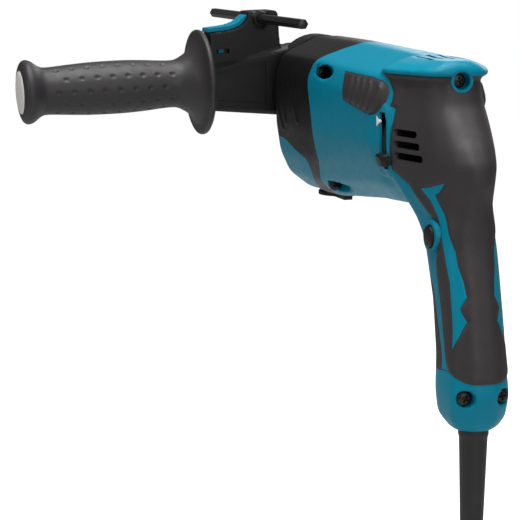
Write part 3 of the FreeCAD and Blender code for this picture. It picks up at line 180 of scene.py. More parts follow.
teal = finish("moulded_teal", (0, 126, 152), 0.36, grain=1700, relief=0.05, spread=0.03, gloss=0.15)
teal_rear = finish("moulded_teal_cap", (0, 130, 156), 0.36, grain=1700, relief=0.05, spread=0.03, gloss=0.15)
black = finish("moulded_black", (24, 22, 23), 0.4, grain=1500, relief=0.08, spread=0.06, gloss=0.27)
rubber = finish("soft_rubber", (46, 42, 43), 0.55, grain=1300, relief=0.1, spread=0.08)
grip_rubber = finish("grip_rubber", (44, 41, 43), 0.5, grain=1300, relief=0.1, spread=0.08)
cord_rubber = finish("cord_rubber", (30, 28, 29), 0.5, grain=900, relief=0.14, spread=0.08)
white = finish("moulded_white", (236, 232, 229), 0.38, grain=1200, relief=0.06, spread=0.03)
dark_steel = finish("blackened_steel", (58, 57, 58), 0.34, 0.85, grain=900, relief=0.08, stretch=(1, 1, 6))
bright_steel = finish("ground_steel", (176, 176, 180), 0.27, 1.0, grain=700, relief=0.06, stretch=(8, 1, 1))
iron = finish("laminated_iron", (92, 92, 96), 0.45, 0.9, grain=400, relief=0.2, stretch=(6, 1, 1))
copper = finish("enamelled_copper", (184, 98, 52), 0.3, 0.95, grain=600, relief=0.15, stretch=(1, 5, 5))
aluminium = finish("die_cast_aluminium", (168, 170, 173), 0.42, 0.95, grain=500, relief=0.2)
carbon = finish("brush_carbon", (44, 44, 46), 0.6, 0.2, grain=1100, relief=0.25)
FINISHES = {
    "teal_plastic": teal, "black_housing": black, "black_rubber": rubber, "black_plastic": black,
    "white_plastic": white, "dark_steel": dark_steel, "bright_steel": bright_steel, "motor_iron": iron,
    "copper": copper, "cast_aluminium": aluminium, "carbon": carbon}
for node in nodes.values():
    for slot in node.material_slots:
        slot.material = FINISHES[slot.material.name.split(".")[0]]
line.materials.append(cord_rubber)

# ---- mesh tools ----------------------------------------------------------------------------------


def thing(name, mesh):
    """A mesh as an object of the scene."""
    made = bpy.data.objects.new(name, mesh)
    bpy.context.scene.collection.objects.link(made)
    return made


def closed(name, rings):
    """A closed form through outlines of equal counts, filled at both ends."""
    bm = bmesh.new()
    rows = [[bm.verts.new(p) for p in ring] for ring in rings]
    for a, b in zip(rows, rows[1:]):
        for i in range(len(a)):
            j = (i + 1) % len(a)
            bm.faces.new((a[i], a[j], b[j], b[i]))
    bm.faces.new(rows[0])
    bm.faces.new(rows[-1])
    bmesh.ops.recalc_face_normals(bm, faces=bm.faces)
    mesh = bpy.data.meshes.new(name)
    bm.to_mesh(mesh)
    bm.free()
    return thing(name, mesh)


def prism(points, near=-FAR, far=FAR, place=at):
    """A cutter: an outline of stations and heights, drawn out across the tool."""
    return closed("cutter", [[place(x, y, z) for x, z in points] for y in (near, far)])


def bar(a, b, radius, end=None, sides=48, place=at):
    """A round or tapered bar between two points."""
    a, b = place(*a), place(*b)
    axis = (b - a).normalized()
    u = axis.orthogonal().normalized()
    v = axis.cross(u)
    rings = []
    for centre, r in ((a, radius), (b, radius if end is None else end)):
        rings.append([centre + (u * math.cos(t) + v * math.sin(t)) * r * MM
                      for t in (2 * math.pi * i / sides for i in range(sides))])
    return closed("bar", rings)


def turned(name, profile, origin, axis, sides=96):
    """A closed turned form from pairs of reach along the axis and radius, both in millimetres."""
    axis = axis.normalized()
    u = axis.orthogonal().normalized()
    v = axis.cross(u)
    return closed(name, [[origin + (axis * out + (u * math.cos(t) + v * math.sin(t)) * max(r, 0.02)) * MM
                          for t in (2 * math.pi * i / sides for i in range(sides))] for out, r in profile])


def drop(piece):
    """Take a helper form out of the scene."""
    mesh = piece.data
    bpy.data.objects.remove(piece)
    if mesh.users == 0:
        bpy.data.meshes.remove(mesh)


def settle(piece):
    """The piece's modifiers made into plain mesh."""
    graph = bpy.context.evaluated_depsgraph_get()
    mesh = bpy.data.meshes.new_from_object(piece.evaluated_get(graph))
    old = piece.data
    piece.modifiers.clear()
    piece.data = mesh
    bpy.data.meshes.remove(old)
    return piece


def cut(piece, *cutters, how="DIFFERENCE", keep=False):
    """The piece less the cutters, or what it shares with them."""
    for cutter in cutters:
        step = piece.modifiers.new("cut", "BOOLEAN")
        step.operation, step.solver, step.object = how, "MANIFOLD", cutter
    settle(piece)
    if not keep:
        for cutter in cutters:
            drop(cutter)
    return piece


def joined(name, parts):
    """Several forms as one object."""
    bm = bmesh.new()
    for part in parts:
        bm.from_mesh(part.data)
    mesh = bpy.data.meshes.new(name)
    bm.to_mesh(mesh)
    bm.free()
    for part in parts:
        drop(part)
    return thing(name, mesh)


def fused(name, parts, voxel, rounds):
    """Overlapping forms melted into one skin, its edges rounded."""
    made = joined(name, parts)
    skin = made.modifiers.new("skin", "REMESH")
    skin.mode, skin.voxel_size = "VOXEL", voxel * MM
    if rounds:
        soft = made.modifiers.new("soft", "SMOOTH")
        soft.factor, soft.iterations = 0.5, rounds
    return settle(made)


def copy_of(piece, name):
    return thing(name, piece.data.copy())


def shell_of(skin, name, out, thick, push=None):
    """A wall under a skin: its face lies `out` beyond the skin, plus the relief that `push` gives."""
    made = copy_of(skin, name)
    mesh = made.data
    count = len(mesh.vertices)
    co, no = np.empty(count * 3), np.empty(count * 3)
    mesh.vertices.foreach_get("co", co)
    mesh.vertex_normals.foreach_get("vector", no)
    co, no = co.reshape(-1, 3), no.reshape(-1, 3)
    far = np.full(count, out * MM)
    if push is not None:
        far += push(co) * MM
    mesh.vertices.foreach_set("co", (co + no * far[:, None]).ravel())
    mesh.update()
    wall = made.modifiers.new("wall", "SOLIDIFY")
    wall.thickness, wall.offset = thick * MM, -1
    return settle(made)


def grown(points, by):
    """An outline moved outwards all round, for a seam's gap."""
    count = len(points)
    area = sum(points[i][0] * points[(i + 1) % count][1] - points[(i + 1) % count][0] * points[i][1]
               for i in range(count))
    turn = 1 if area > 0 else -1
    made = []
    for i in range(count):
        a, b, c = (Vector(points[(i + k) % count]) for k in (-1, 0, 1))
        n1 = Vector(((b - a).y, -(b - a).x)).normalized() * turn
        n2 = Vector(((c - b).y, -(c - b).x)).normalized() * turn
        both = (n1 + n2).normalized()
        made.append(tuple(b + both * by / max(both.dot(n1), 0.5)))
    return made


def piece(made, name, body, slot, material, *stands_for, angle=36):
    """A finished piece: named, shaded, painted and tied to its body and CAD nodes."""
    made.name = made.data.name = name
    made.data.shade_smooth()
    made.data.set_sharp_from_angle(angle=math.radians(angle))
    made.data.materials.clear()
    made.data.materials.append(material)
    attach(made, body)
    if stands_for:
        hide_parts(*stands_for)
    return made


def merged(node, name):
    """A joined-up copy of a CAD node's mesh."""
    bm = bmesh.new()
    bm.from_mesh(nodes[node].data)
    bmesh.ops.remove_doubles(bm, verts=bm.verts, dist=2e-6)
    bmesh.ops.dissolve_limit(bm, angle_limit=math.radians(0.6), verts=bm.verts, edges=bm.edges)
    mesh = bpy.data.meshes.new(name)
    bm.to_mesh(mesh)
    bm.free()
    return thing(name, mesh)


def eased(node, name, width, angle=32, segments=3):
    """A copy of a CAD node with its edges rounded."""
    made = merged(node, name)
    edge = made.modifiers.new("edge", "BEVEL")
    edge.width, edge.segments = width * MM, segments
    edge.limit_method, edge.angle_limit = "ANGLE", math.radians(angle)
    edge.use_clamp_overlap = True
    return settle(made)


def fine_profile(profile, step):
    """The profile's points with more between them, on smooth curves."""
    made = []
    for i in range(len(profile) - 1):
        p0, p1, p2, p3 = (Vector(profile[min(max(i + k, 0), len(profile) - 1)]) for k in (-1, 0, 1, 2))
        count = max(1, round((p2 - p1).length / step))
        for k in range(count):
            t = k / count
            made.append(0.5 * ((2 * p1) + (p2 - p0) * t + (2 * p0 - 5 * p1 + 4 * p2 - p3) * t * t
                               + (3 * p1 - p0 - 3 * p2 + p3) * t ** 3))
    made.append(Vector(profile[-1]))
    return made


# ---- the body's outer skin -----------------------------------------------------------------------


def upright(station, half, crown, bottom):
    """A cross-section of the upper body: flat crown, shoulders, upright sides and keel."""
    side = [(0.2 * half, crown), (0.58 * half, crown - 6.5), (0.89 * half, crown - 12), (half, crown - 25),
            (half, -MOTOR_DROP - 4), (0.92 * half, -bottom + 25), (0.75 * half, -bottom + 11),
            (0.38 * half, -bottom)]
    return [at(station, y, z) for y, z in side] + [at(station, -y, z) for y, z in reversed(side)]


def level(height, side):
    """A flat cross-section at a height, from stations with half widths."""
    return [at(x, y, height) for x, y in side] + [at(x, -y, height) for x, y in reversed(side)]


# each level of the handle: height, front face, dividing line, rear face, half width
HANDLE = [(-50, 206, 214, 240, 24), (-55, 206, 214, 246, 22), (-66, 211, 226, 261, 17), (-79, 219, 236, 262, 17.5),
          (-110, 228, 250, 271, 16.5), (-141, 235, 256, 278, 17), (-161, 237.5, 259, 281, 18.5),
          (-174, 239.5, 261, 277, 17.5), (-182, 249, 262, 273, 12)]
# each level behind the motor: height, then stations with half widths from the motor back to the palm
WEB = [(15, (196, 27), (208, 22.5), (220, 18.6), (230, 14), (234.5, 10), (236, 5)),
       (8, (196, 29.5), (208, 23.4), (220, 18.6), (229, 15), (235, 10.5), (237, 5)),
       (0, (196, 33), (208, 25.8), (221, 19.8), (231, 15.8), (237.5, 11), (239.5, 5)),
       (-12, (196, 34.5), (210, 27.5), (225, 21), (237, 17.3), (246, 12), (249.5, 5)),
       (-24, (196, 34.6), (212, 28.2), (229, 21.4), (243, 17.6), (255, 12), (260, 5)),
       (-33, (198, 34), (214, 27.6), (231, 21.6), (247, 17.2), (261, 11), (266.5, 4.5)),
       (-44, (204, 30), (217, 25), (233, 20.2), (248, 15.8), (260, 10.4), (266, 4.5)),
       (-55, (212, 25.5), (222, 22), (235, 18.8), (248, 14.6), (257, 10.4), (261.5, 4.5)),
       (-66, (220, 20.5), (229, 18.6), (239, 17.6), (249, 15.2), (257, 11.4), (261.2, 5)),
       (-79, (226, 17), (234, 17.4), (243, 17.2), (251, 15.6), (258, 11.5), (261.8, 5)),
       (-95, (232, 16), (240, 16.4), (249, 15.8), (257, 13.6), (262.5, 10), (265.5, 5))]
# the same for the brim of the cap over it
BRIM = [(15.2, (188, 30.5), (200, 32.2), (212, 28.4), (230, 20), (237.6, 14.6), (239.2, 7)),
        (18, (188, 29), (200, 31), (212, 28), (230, 19.8), (237.4, 14.4), (239, 7)),
        (21.5, (188, 22), (200, 23), (212, 21.5), (229, 15.5), (235.6, 11.5), (237.4, 6)),
        (24.4, (188, 12), (200, 12), (212, 11.5), (226, 9.5), (232, 7.5), (234, 4))]


def handle_side(front, split, rear, half):
    """The hand grip's rounded half outline at one level."""
    return [(front, 0.45 * half), (front + 5, 0.86 * half), ((front + split) / 2 + 2, half), (split, half),
            ((split + rear) / 2 + 1, 0.97 * half), (rear - 5, 0.8 * half), (rear, 0.4 * half)]


# the motor case's last cross-section, half widths with heights
REAR_SECTION = [(6, 24.2), (15.5, 20), (21.5, 10), (24.5, -3), (28.6, -20), (28.6, -35), (23.5, -49), (12.5, -60)]

gear_case = closed("gear_case", [upright(*s) for s in ((12, 34, 27.4, 70), (23, 38.5, 28, 73),
                                                       (59, 38.5, 28, 73), (84, 36.5, 28, 72))])
motor_case = closed("motor_case", [upright(*s) for s in ((80, 36.5, 28, 72), (155, 36, 26.5, 64),
                                                         (188, 35.4, 25.8, 62.3))]
                    + [[at(212, y, z) for y, z in REAR_SECTION]
                       + [at(212, -y, z) for y, z in reversed(REAR_SECTION)]])
handle = closed("handle", [level(h, handle_side(*rest)) for h, *rest in HANDLE])
web = closed("web", [level(h, rest) for h, *rest in WEB])
brim = closed("brim", [level(h, rest) for h, *rest in BRIM])
base_skin = fused("base_skin", [gear_case, motor_case, handle, web], 1.5, 20)
brim = fused("brim", [brim], 1.0, 6)
base_skin = fused("base_skin", [base_skin, brim], 1.2, 4)

# pockets and openings, cut into the skin before its last rounding
pockets = []
for side in (-1, 1):
    # the four housing screws, each with a groove running back from it, then the two collar screws
    pockets.append(bar((88.2, side * 29, 8), (104, side * 29.5, 8.6), 5.4))
    pockets.append(bar((93, side * 29.5, 8.5), (128, side * 39, 12), 5.4, 2.4))
    pockets.append(bar((88.2, side * 20.5, -63), (104, side * 20.5, -63), 5.4))
    pockets.append(bar((93, side * 20.5, -63.5), (142, side * 25, -66), 5.6, 3.2))
    pockets.append(bar((271.8, side * 11.2, -161), (292, side * 11.6, -161), 4.9))
cap_screw_hole = (232.2, 0, CAP_SCREW_HEIGHT), (252, 0, CAP_SCREW_HEIGHT)
lock_hole = (LOCK_STATION, -5, LOCK_HEIGHT), (LOCK_STATION, -30, LOCK_HEIGHT)
trigger_mouth = [(196, -62.5), (238, -62.5), (238, -99.5), (205, -99.5)]
pockets.append(bar(*cap_screw_hole, 5.0))
pockets.append(prism(trigger_mouth, -7.4, 7.4))
pockets.append(bar(*lock_hole, 6.7))
pockets.append(bar((45, 0, -74), (45, 0, -68.7), 15.6))    # the mode dial's seat
body_skin = cut(base_skin, *pockets)
body_skin = fused("body_skin", [body_skin], 1.0, 7)

# ---- the body's zones ----------------------------------------------------------------------------

# outlines of the mouldings on the body's sides, stations with heights
FRONT = [(100, 45), (98, 27), (92, 24), (86, 20), (81.5, 13), (80, 5), (80.5, 0), (82.5, -7), (85, -15),
         (87.5, -23), (89, -32), (90, -39), (91.5, -47), (84, -56), (76.6, -65), (70, -85), (0, -85), (0, 45)]
LOWER = [(0, -37.6), (33, -38), (41, -39.8), (48.6, -42), (57, -44.2), (65.4, -46.6), (70, -48.2), (72, -50.5),
         (72, -55), (70.7, -59.6), (66, -63.5), (59, -67), (52, -75), (48, -88), (-3, -88)]
RUBBER = [(192.5, 15.2), (194.5, 13.6), (196.9, 12.1), (200.6, 8.2), (203.4, 4.5), (203.8, 0.5), (203.3, -3),
          (205.2, -3.2), (207.4, -4.4), (207.2, -10.3), (206.8, -15.8), (206.6, -22.8), (206.8, -30), (208, -39.5),
          (213, -42.6), (219.6, -46.3), (227.9, -54), (236.2, -61.1), (244.4, -65.8), (248.5, -70.2),
          (246.6, -75.5), (246, -82), (244.8, -88), (245.4, -93), (248.6, -105), (252.5, -117), (258.5, -137),
          (261.5, -143.5), (265.7, -147.5), (268.5, -148), (276.6, -151.6), (283, -153.4), (292, -154), (292, 15.8),
          (262, 15.6), (240, 15.4), (220, 15.2)]
ACCENT = [(231, -47.7), (238.8, -46.2), (250.3, -42.8), (245.6, -48.6), (242.2, -50.4), (245.6, -55.6),
          (249.6, -60.2), (252.4, -65), (254.8, -70.6), (258.9, -80), (261.4, -88), (264.9, -96), (268.1, -105),
          (267.2, -111.6), (271, -118.5), (269.5, -127.1), (266.7, -134.1), (265.8, -124.1), (263.8, -114.6),
          (259.7, -97), (256, -88), (253.2, -80.6), (249.4, -70.5), (245.1, -62), (239.1, -53.9)]
STRIP = [(196, -61), (212, -60), (217, -61), (220, -67), (225.5, -76), (229, -84), (231.5, -91.3), (235.1, -97.3),
         (239.5, -103.1), (242.3, -110.1), (245.5, -118), (252.6, -135), (254.5, -141), (255, -148.4),
         (240, -149.4), (215, -149.8), (196, -100)]
COLLAR = [(225, -149.6), (240, -149.2), (255, -148.2), (262, -147.2), (265.7, -147.5), (268.5, -148),
          (276.6, -151.6), (283, -153.4), (294, -154), (294, -200), (225, -200)]
CAP_ZONE = [(188, 40), (190.5, 24), (192.5, 15.2), (220, 15.2), (240, 15.4), (262, 15.6), (292, 15.8), (292, 40)]
PAD = [(138.1, 12.6), (157.2, 12.3), (184.9, 12), (193.6, 10.5), (198, 8.1), (200.1, 4.2), (199.9, -0.8),
       (198.4, -4.6), (195.4, -7), (191, -8.6), (186, -9.3), (175.4, -8.4), (160.1, -6.4), (143.5, -3.8)]
PLATE = [(184, -8), (199.5, -1.5), (204, -6), (206.5, -14), (208.4, -24), (208.8, -38), (203, -45.7), (190.5, -43.9),
         (187.3, -37), (183.4, -25), (184.5, -16)]
SLIT = [(196.4, -6.5), (198, -14), (198.8, -22.4), (199.4, -32), (199.8, -40), (205.4, -39.4), (205.4, -32),
        (204.6, -22.6), (203.4, -12), (201.4, -7)]
MARKS = ([(194.6, -9.4), (199.2, -12.2), (195.4, -15.4)], [(194.4, -33.2), (198.6, -35.6), (194, -38.6)])


def inside(points, x, z):
    """How far points lie within an outline, in millimetres; below 0 outside it."""
    best = np.full(len(x), 1e9)
    crossings = np.zeros(len(x), bool)
    count = len(points)
    for i in range(count):
        (ax, az), (bx, bz) = points[i], points[(i + 1) % count]
        dx, dz = bx - ax, bz - az
        t = np.clip(((x - ax) * dx + (z - az) * dz) / (dx * dx + dz * dz), 0, 1)
        best = np.minimum(best, np.hypot(x - ax - t * dx, z - az - t * dz))
        if az != bz:
            hit = (az > z) != (bz > z)
            crossings ^= hit & (x < ax + (z - az) * dx / dz)
    return np.where(crossings, best, -best)


def tool_frame(co):
    """Stations, sides and heights of an array of points."""
    return (co[:, 0] + REACH) / MM, co[:, 1] / MM, (co[:, 2] - DROP) / MM


def ramp(value, low, high):
    """A smooth step from 0 at low to 1 at high."""
    t = np.clip((value - low) / (high - low), 0, 1)
    return t * t * (3 - 2 * t)


def teal_relief(co):
    """The raised plate behind the reversing lever."""
    x, y, z = tool_frame(co)
    return 1.1 * ramp(inside(PLATE, x, z), -0.6, 0.9) * (y < 0)


def front_relief(co):
    """Three shallow slanted ribs on each side of the gear housing."""
    x, y, z = tool_frame(co)
    rise = np.zeros(len(x))
    for start, high, end, low in ((15, -5, 37, -33), (34, -4, 42, -28), (51, -5, 64, -26)):
        rib = [(start, high), (start + 3, high), (end + 3, low), (end, low)]
        rise += 0.7 * ramp(inside(rib, x, z), -0.4, 0.8)
    return rise


def pad_relief(co):
    """Curved upright ribs across the thumb pad, and its rounded rim."""
    x, y, z = tool_frame(co)
    depth = inside(PAD, x, z)
    wave = 0.5 + 0.5 * np.cos(2 * math.pi * (x + 0.06 * (z - 4) ** 2 - 4) / 9.5)
    return 1.5 * wave ** 2 * ramp(depth, 0.8, 3.5) * ramp(x, 146, 158) - 0.6 * (1 - ramp(depth, 0, 1.2))


def rubber_relief(co):
    """The rubber's edges roll down to the plastic beside it."""
    x, y, z = tool_frame(co)
    rolled = 1 - ramp(inside(RUBBER, x, z), 0, 1.4)
    sunk = (1 - ramp(-inside(ACCENT, x, z), 0, 1.4)) * ramp(np.abs(y), 6, 8)
    return -0.55 * np.maximum(rolled, sunk)


plain_wall = shell_of(body_skin, "plain_wall", 0, 1.8, teal_relief)
front_wall = shell_of(body_skin, "front_wall", 0, 1.8, front_relief)
rubber_wall = shell_of(body_skin, "rubber_wall", 0.75, 2.4, rubber_relief)
pad_wall = shell_of(body_skin, "pad_wall", 0.5, 2.2, pad_relief)

lower = cut(copy_of(plain_wall, "lower"), prism(LOWER), how="INTERSECT")
piece(lower, "lower_gear_cover", "housing", "teal_plastic", teal, "lower_cover")
front = cut(copy_of(front_wall, "front"), prism(FRONT), how="INTERSECT")
cut(front, prism(grown(LOWER, SEAM)))
piece(front, "front_gear_housing", "housing", "black_housing", black, "gear_housing")

motor_piece = copy_of(plain_wall, "motor")
cut(motor_piece, prism(grown(FRONT, SEAM)), prism(grown(RUBBER, SEAM)), prism(grown(STRIP, SEAM)),
    prism(grown(COLLAR, SEAM)), prism(grown(CAP_ZONE, SEAM)), prism(grown(PAD, 0.25)), prism(SLIT, -FAR, 0))
rear_cap = cut(copy_of(plain_wall, "rear_cap"), prism(CAP_ZONE), how="INTERSECT")
louvre = [(-12, -1.4), (12, -1.4), (12, 1.4), (-12, 1.4)]
louvres = [closed("louvre", [[at(207 + dx, across + dy, z) for dx, dy in louvre] for z in (12, 40)])
           for across in (-9.9, -3.3, 3.3, 9.9)]
cut(motor_piece, *louvres, keep=True)
cut(rear_cap, *louvres)
lock_ring = cut(bar((LOCK_STATION, -13, LOCK_HEIGHT), (LOCK_STATION, -19.4, LOCK_HEIGHT), 9.7, 9.2),
                bar(*lock_hole, 6.8))
duct = prism([(209, -10), (236, -10), (238, -41), (213, -41)], -12, 12)    # closes the view through the vents
motor_piece = joined("motor_piece", [motor_piece, lock_ring, duct])
piece(motor_piece, "motor_shell", "housing", "teal_plastic", teal, "motor_housing")
collar = cut(copy_of(plain_wall, "collar"), prism(COLLAR), how="INTERSECT")
raised = shell_of(body_skin, "raised", 0.35, 2.0)
accents = [cut(copy_of(raised, "accent"), prism(ACCENT, *sides), how="INTERSECT")
           for sides in ((-FAR, -6.5), (6.5, FAR))]
drop(raised)
boss = cut(bar((222, 0, CAP_SCREW_HEIGHT), (237.9, 0, CAP_SCREW_HEIGHT), 6.7), bar(*cap_screw_hole, 5.1),
           bar((200, 0, CAP_SCREW_HEIGHT), (252, 0, CAP_SCREW_HEIGHT), 2.2))
rear = joined("rear", [rear_cap, collar, boss] + accents)
piece(rear, "rear_cap_and_collar", "housing", "teal_plastic", teal_rear, "rear_cover")
strip = cut(copy_of(plain_wall, "strip"), prism(STRIP), how="INTERSECT")
cut(rubber_wall, prism(RUBBER), how="INTERSECT")


def vent_outline(row):
    """One of the three vents with round ends, each lower one further back and longer."""
    start, long, height = 210.5 + 0.9 * row, 14 + 2.6 * row, -17.6 - 6.65 * row
    turns = [math.pi * (k / 11 - 0.5) for k in range(12)]
    return ([(start + long + 1.7 * math.cos(t), height - 0.5 + 2.1 * math.sin(t)) for t in turns]
            + [(start - 1.7 * math.cos(t), height - 2.1 * math.sin(t)) for t in turns])


cut(rubber_wall, prism(grown(ACCENT, 0.2), -FAR, -6.3), prism(grown(ACCENT, 0.2), 6.3, FAR),
    bar((215, 0, CAP_SCREW_HEIGHT), (250, 0, CAP_SCREW_HEIGHT), 6.8), *[prism(vent_outline(row)) for row in range(3)])
piece(joined("rubber_skin", [rubber_wall, strip]), "rear_grip_rubber", "housing", "black_rubber", rubber, "rear_grip")
cut(pad_wall, prism(PAD), how="INTERSECT")
piece(pad_wall, "thumb_pad_rubber", "housing", "black_rubber", rubber, "thumb_pads")
marks = shell_of(body_skin, "marks", 0.18, 1.0, teal_relief)
patches = [cut(copy_of(marks, "mark"), prism(mark, -FAR, 0), how="INTERSECT") for mark in MARKS]
drop(marks)
piece(joined("patches", patches), "turn_marks", "housing", "white_plastic", white)
for spare in (plain_wall, front_wall, body_skin):
    drop(spare)

# ---- reversing lever -----------------------------------------------------------------------------

ring = merged("brush_ring", "ring")
cut(ring, bar((180, 0, -MOTOR_DROP), (202, 0, -MOTOR_DROP), 32.4, sides=96), how="INTERSECT")


def about_motor(station, radius, angle):
    """A point about the motor's axis; the angle is counted downwards from the left side."""
    return at(station, -radius * math.cos(angle), -MOTOR_DROP - radius * math.sin(angle))


knob = []
lever_rest = math.radians(17)           # the lever stands this far below the motor's left side
for station, reach, half in ((197, 35.8, 3.0), (198, 37.4, 3.6), (203, 38, 3.9), (207.4, 37.4, 3.4),
                             (208.4, 35.8, 2.8)):
    knob.append([about_motor(station, r, lever_rest + turn / r) for r, turn in
                 ((32.6, -half), (reach - 0.8, -half), (reach, -half + 1), (reach, half - 1), (reach - 0.8, half),
                  (32.6, half))])
lever = closed("lever", knob)
arm = closed("arm", [[about_motor(station, r, lever_rest + turn / r) for r, turn in
                      ((30, -2.6), (34.5, -2.6), (34.5, 2.6), (30, 2.6))] for station in (194, 205.4)])
piece(joined("reverser", [ring, lever, arm]), "reversing_lever", "brush_gear", "black_plastic", black, "brush_ring")

# ---- screws --------------------------------------------------------------------------------------


def screw_form(length):
    """One screw along X with its head's outer face at the origin: domed head, cross recess, shank."""
    def spot(x, y, z):
        return Vector((x, y, z)) * MM
    profile = [(-length, 0.3), (-length + 1.5, 2), (-3, 2), (-3, 4.3), (-1.2, 4.3), (-0.4, 3.7), (0, 2.6), (0, 0.1)]
    head = turned("screw", profile, Vector(), Vector((1, 0, 0)), 40)
    blades = [closed("blade", [[spot(x, y * w, z * w) for y, z in shape] for x, w in ((-1.9, 0.7), (0.5, 1))])
              for shape in (((-2.5, -0.5), (2.5, -0.5), (2.5, 0.5), (-2.5, 0.5)),
                            ((-0.5, -2.5), (0.5, -2.5), (0.5, 2.5), (-0.5, 2.5)))]
    return cut(head, *blades)


def node_copies(name, form, places, material, seed):
    """Copies of a form at given places, each turned about X by chance, made by geometry nodes."""
    tree = bpy.data.node_groups.new(name + "_tree", "GeometryNodeTree")
    face = tree.interface
    face.new_socket("Places", in_out="INPUT", socket_type="NodeSocketGeometry")
    form_socket = face.new_socket("Form", in_out="INPUT", socket_type="NodeSocketObject")
    seed_socket = face.new_socket("Seed", in_out="INPUT", socket_type="NodeSocketInt")
    coat_socket = face.new_socket("Finish", in_out="INPUT", socket_type="NodeSocketMaterial")
    face.new_socket("Copies", in_out="OUTPUT", socket_type="NodeSocketGeometry")
    start, end = tree.nodes.new("NodeGroupInput"), tree.nodes.new("NodeGroupOutput")
    source = tree.nodes.new("GeometryNodeObjectInfo")
    spin = tree.nodes.new("FunctionNodeRandomValue")
    spin.data_type = "FLOAT_VECTOR"
    spin.inputs["Min"].default_value = (0, 0, 0)
    spin.inputs["Max"].default_value = (math.pi / 2, 0, 0)
    spread = tree.nodes.new("GeometryNodeInstanceOnPoints")
    real = tree.nodes.new("GeometryNodeRealizeInstances")
    paint = tree.nodes.new("GeometryNodeSetMaterial")
    join = tree.links.new
    join(start.outputs["Places"], spread.inputs["Points"])
    join(start.outputs["Form"], source.inputs["Object"])
    join(start.outputs["Seed"], spin.inputs["Seed"])
    join(source.outputs["Geometry"], spread.inputs["Instance"])
    join(spin.outputs["Value"], spread.inputs["Rotation"])
    join(spread.outputs["Instances"], real.inputs["Geometry"])
    join(real.outputs["Geometry"], paint.inputs["Geometry"])
    join(start.outputs["Finish"], paint.inputs["Material"])
    join(paint.outputs["Geometry"], end.inputs["Copies"])
    mesh = bpy.data.meshes.new(name)
    mesh.from_pydata([at(*place) for place in places], [], [])
    made = thing(name, mesh)
    step = made.modifiers.new("copies", "NODES")
    step.node_group = tree
    step[form_socket.identifier] = form
    step[seed_socket.identifier] = seed
    step[coat_socket.identifier] = material
    settle(made)
    drop(form)
    return made


for name, length, seed, places, node in (
        ("housing_screw_set", 40, 3, [(91, y, z) for y, z in ((29, 8), (-29, 8), (20.5, -63), (-20.5, -63))],
         "housing_screws"),
        ("cap_screw", 34, 5, [(234, 0, CAP_SCREW_HEIGHT)], "cover_screw"),
        ("collar_screw_set", 24, 8, [(275, 11.2, -161), (275, -11.2, -161)], "collar_screws")):
    piece(node_copies(name, screw_form(length), places, dark_steel, seed), name, "housing", "dark_steel", dark_steel,
          node)

# ---- side handle ---------------------------------------------------------------------------------

hub = turned("hub", [(-9, 28), (9, 28)], at(0, 0, 0), Vector((1, 0, 0)))


def arm_level(out, half, top, low):
    """The side handle's arm in cross-section, its corners cut off."""
    return [tilted(x, -out, z) for x, z in
            ((-half, top - 3), (-half + 2.5, top), (half - 2.5, top), (half, top - 3), (half, -low + 3),
             (half - 2.5, -low), (-half + 2.5, -low), (-half, -low + 3))]


arm_form = closed("arm_form", [arm_level(24, 11, 22.5, 25.5), arm_level(52, 9.3, 17.8, 22.4),
                               arm_level(82.6, 7.5, 12.5, 19)])
side_view = [(-30, 19.5), (-31, 43.5), (-32, 45.2), (-34, 46), (-52.5, 46), (-52.6, 41), (-54, 39), (-57, 36.6),
             (-61, 34.8), (-66, 33.6), (-79, 32.6), (-79.5, 10.5), (-40, 16.5)]
block = closed("block", [[tilted(x, y, z) for y, z in side_view] for x in (-9, 9)])
rod_boss = bar((8, ROD_SIDE, ROD_HEIGHT), (11.5, ROD_SIDE, ROD_HEIGHT), 6.2, 5.4, sides=6, place=tilted)
side_base = fused("side_base", [hub, arm_form, block, rod_boss], 0.8, 3)
# bores for the housing's neck, the depth rod, the clamp bolt and its nut, then the lock's two windows
hollows = [bar((-12, 0, 0), (12, 0, 0), 22.05, sides=128),
           bar((-15, ROD_SIDE, ROD_HEIGHT), (15, ROD_SIDE, ROD_HEIGHT), 3.6, sides=6, place=tilted),
           bar((0, -24, 0), (0, -84, 0), 4.05, place=tilted), bar((0, -26, 0), (0, -44, 0), 7.9, place=tilted),
           prism([(5.5, 19), (20, 19), (20, 22), (5.5, 22)], -75, -66, place=tilted),
           prism([(-5.5, 19), (-20, 19), (-20, 22), (-5.5, 22)], -75, -66, place=tilted)]
for face in (-1, 1):    # the sunk panel on each face of the arm
    hollows.append(closed("panel", [[tilted(face * x, -out, z) for x, z in
                                     ((depth, top), (depth + 9, top), (depth + 9, -low), (depth, -low))]
                                    for out, depth, top, low in ((41, 8.8, 12.5, 16.6), (76, 6.6, 7.2, 12.8))]))
cut(side_base, *hollows)
piece(side_base, "side_handle_bracket", "side_handle", "black_plastic", black, "side_handle_base")

# the side grip from its flange to its outer end: distance from the drill axis, radius
GRIP = [(83, 6), (83, 33.6), (83.6, 34.6), (84.6, 35), (85.6, 35), (86.4, 34.6), (86.9, 33.4), (87.2, 31.5),
        (88, 28), (89.6, 24.8), (91.6, 22.2), (94, 20), (97, 18.1), (100, 16.6), (104, 15.7), (112, 15.9),
        (122, 16.7), (135, 17.4), (148, 17.5), (162, 17.2), (175, 16.4), (186, 15.6), (191, 15.6), (194, 16.5),
        (196.5, 18.2), (199, 20), (201.5, 20.9), (203.4, 20.8), (205, 19.6), (206, 17.6), (206.5, 15.6),
        (206.5, 14.4), (204.6, 14.3), (204.5, 6)]


GRIP_SIDES = 200
DIMPLE_ROWS, DIMPLES, DIMPLE_STEP = 12, 8, 10.2
DIMPLE_DEPTH, DIMPLE_RADIUS = 0.75, 1.35


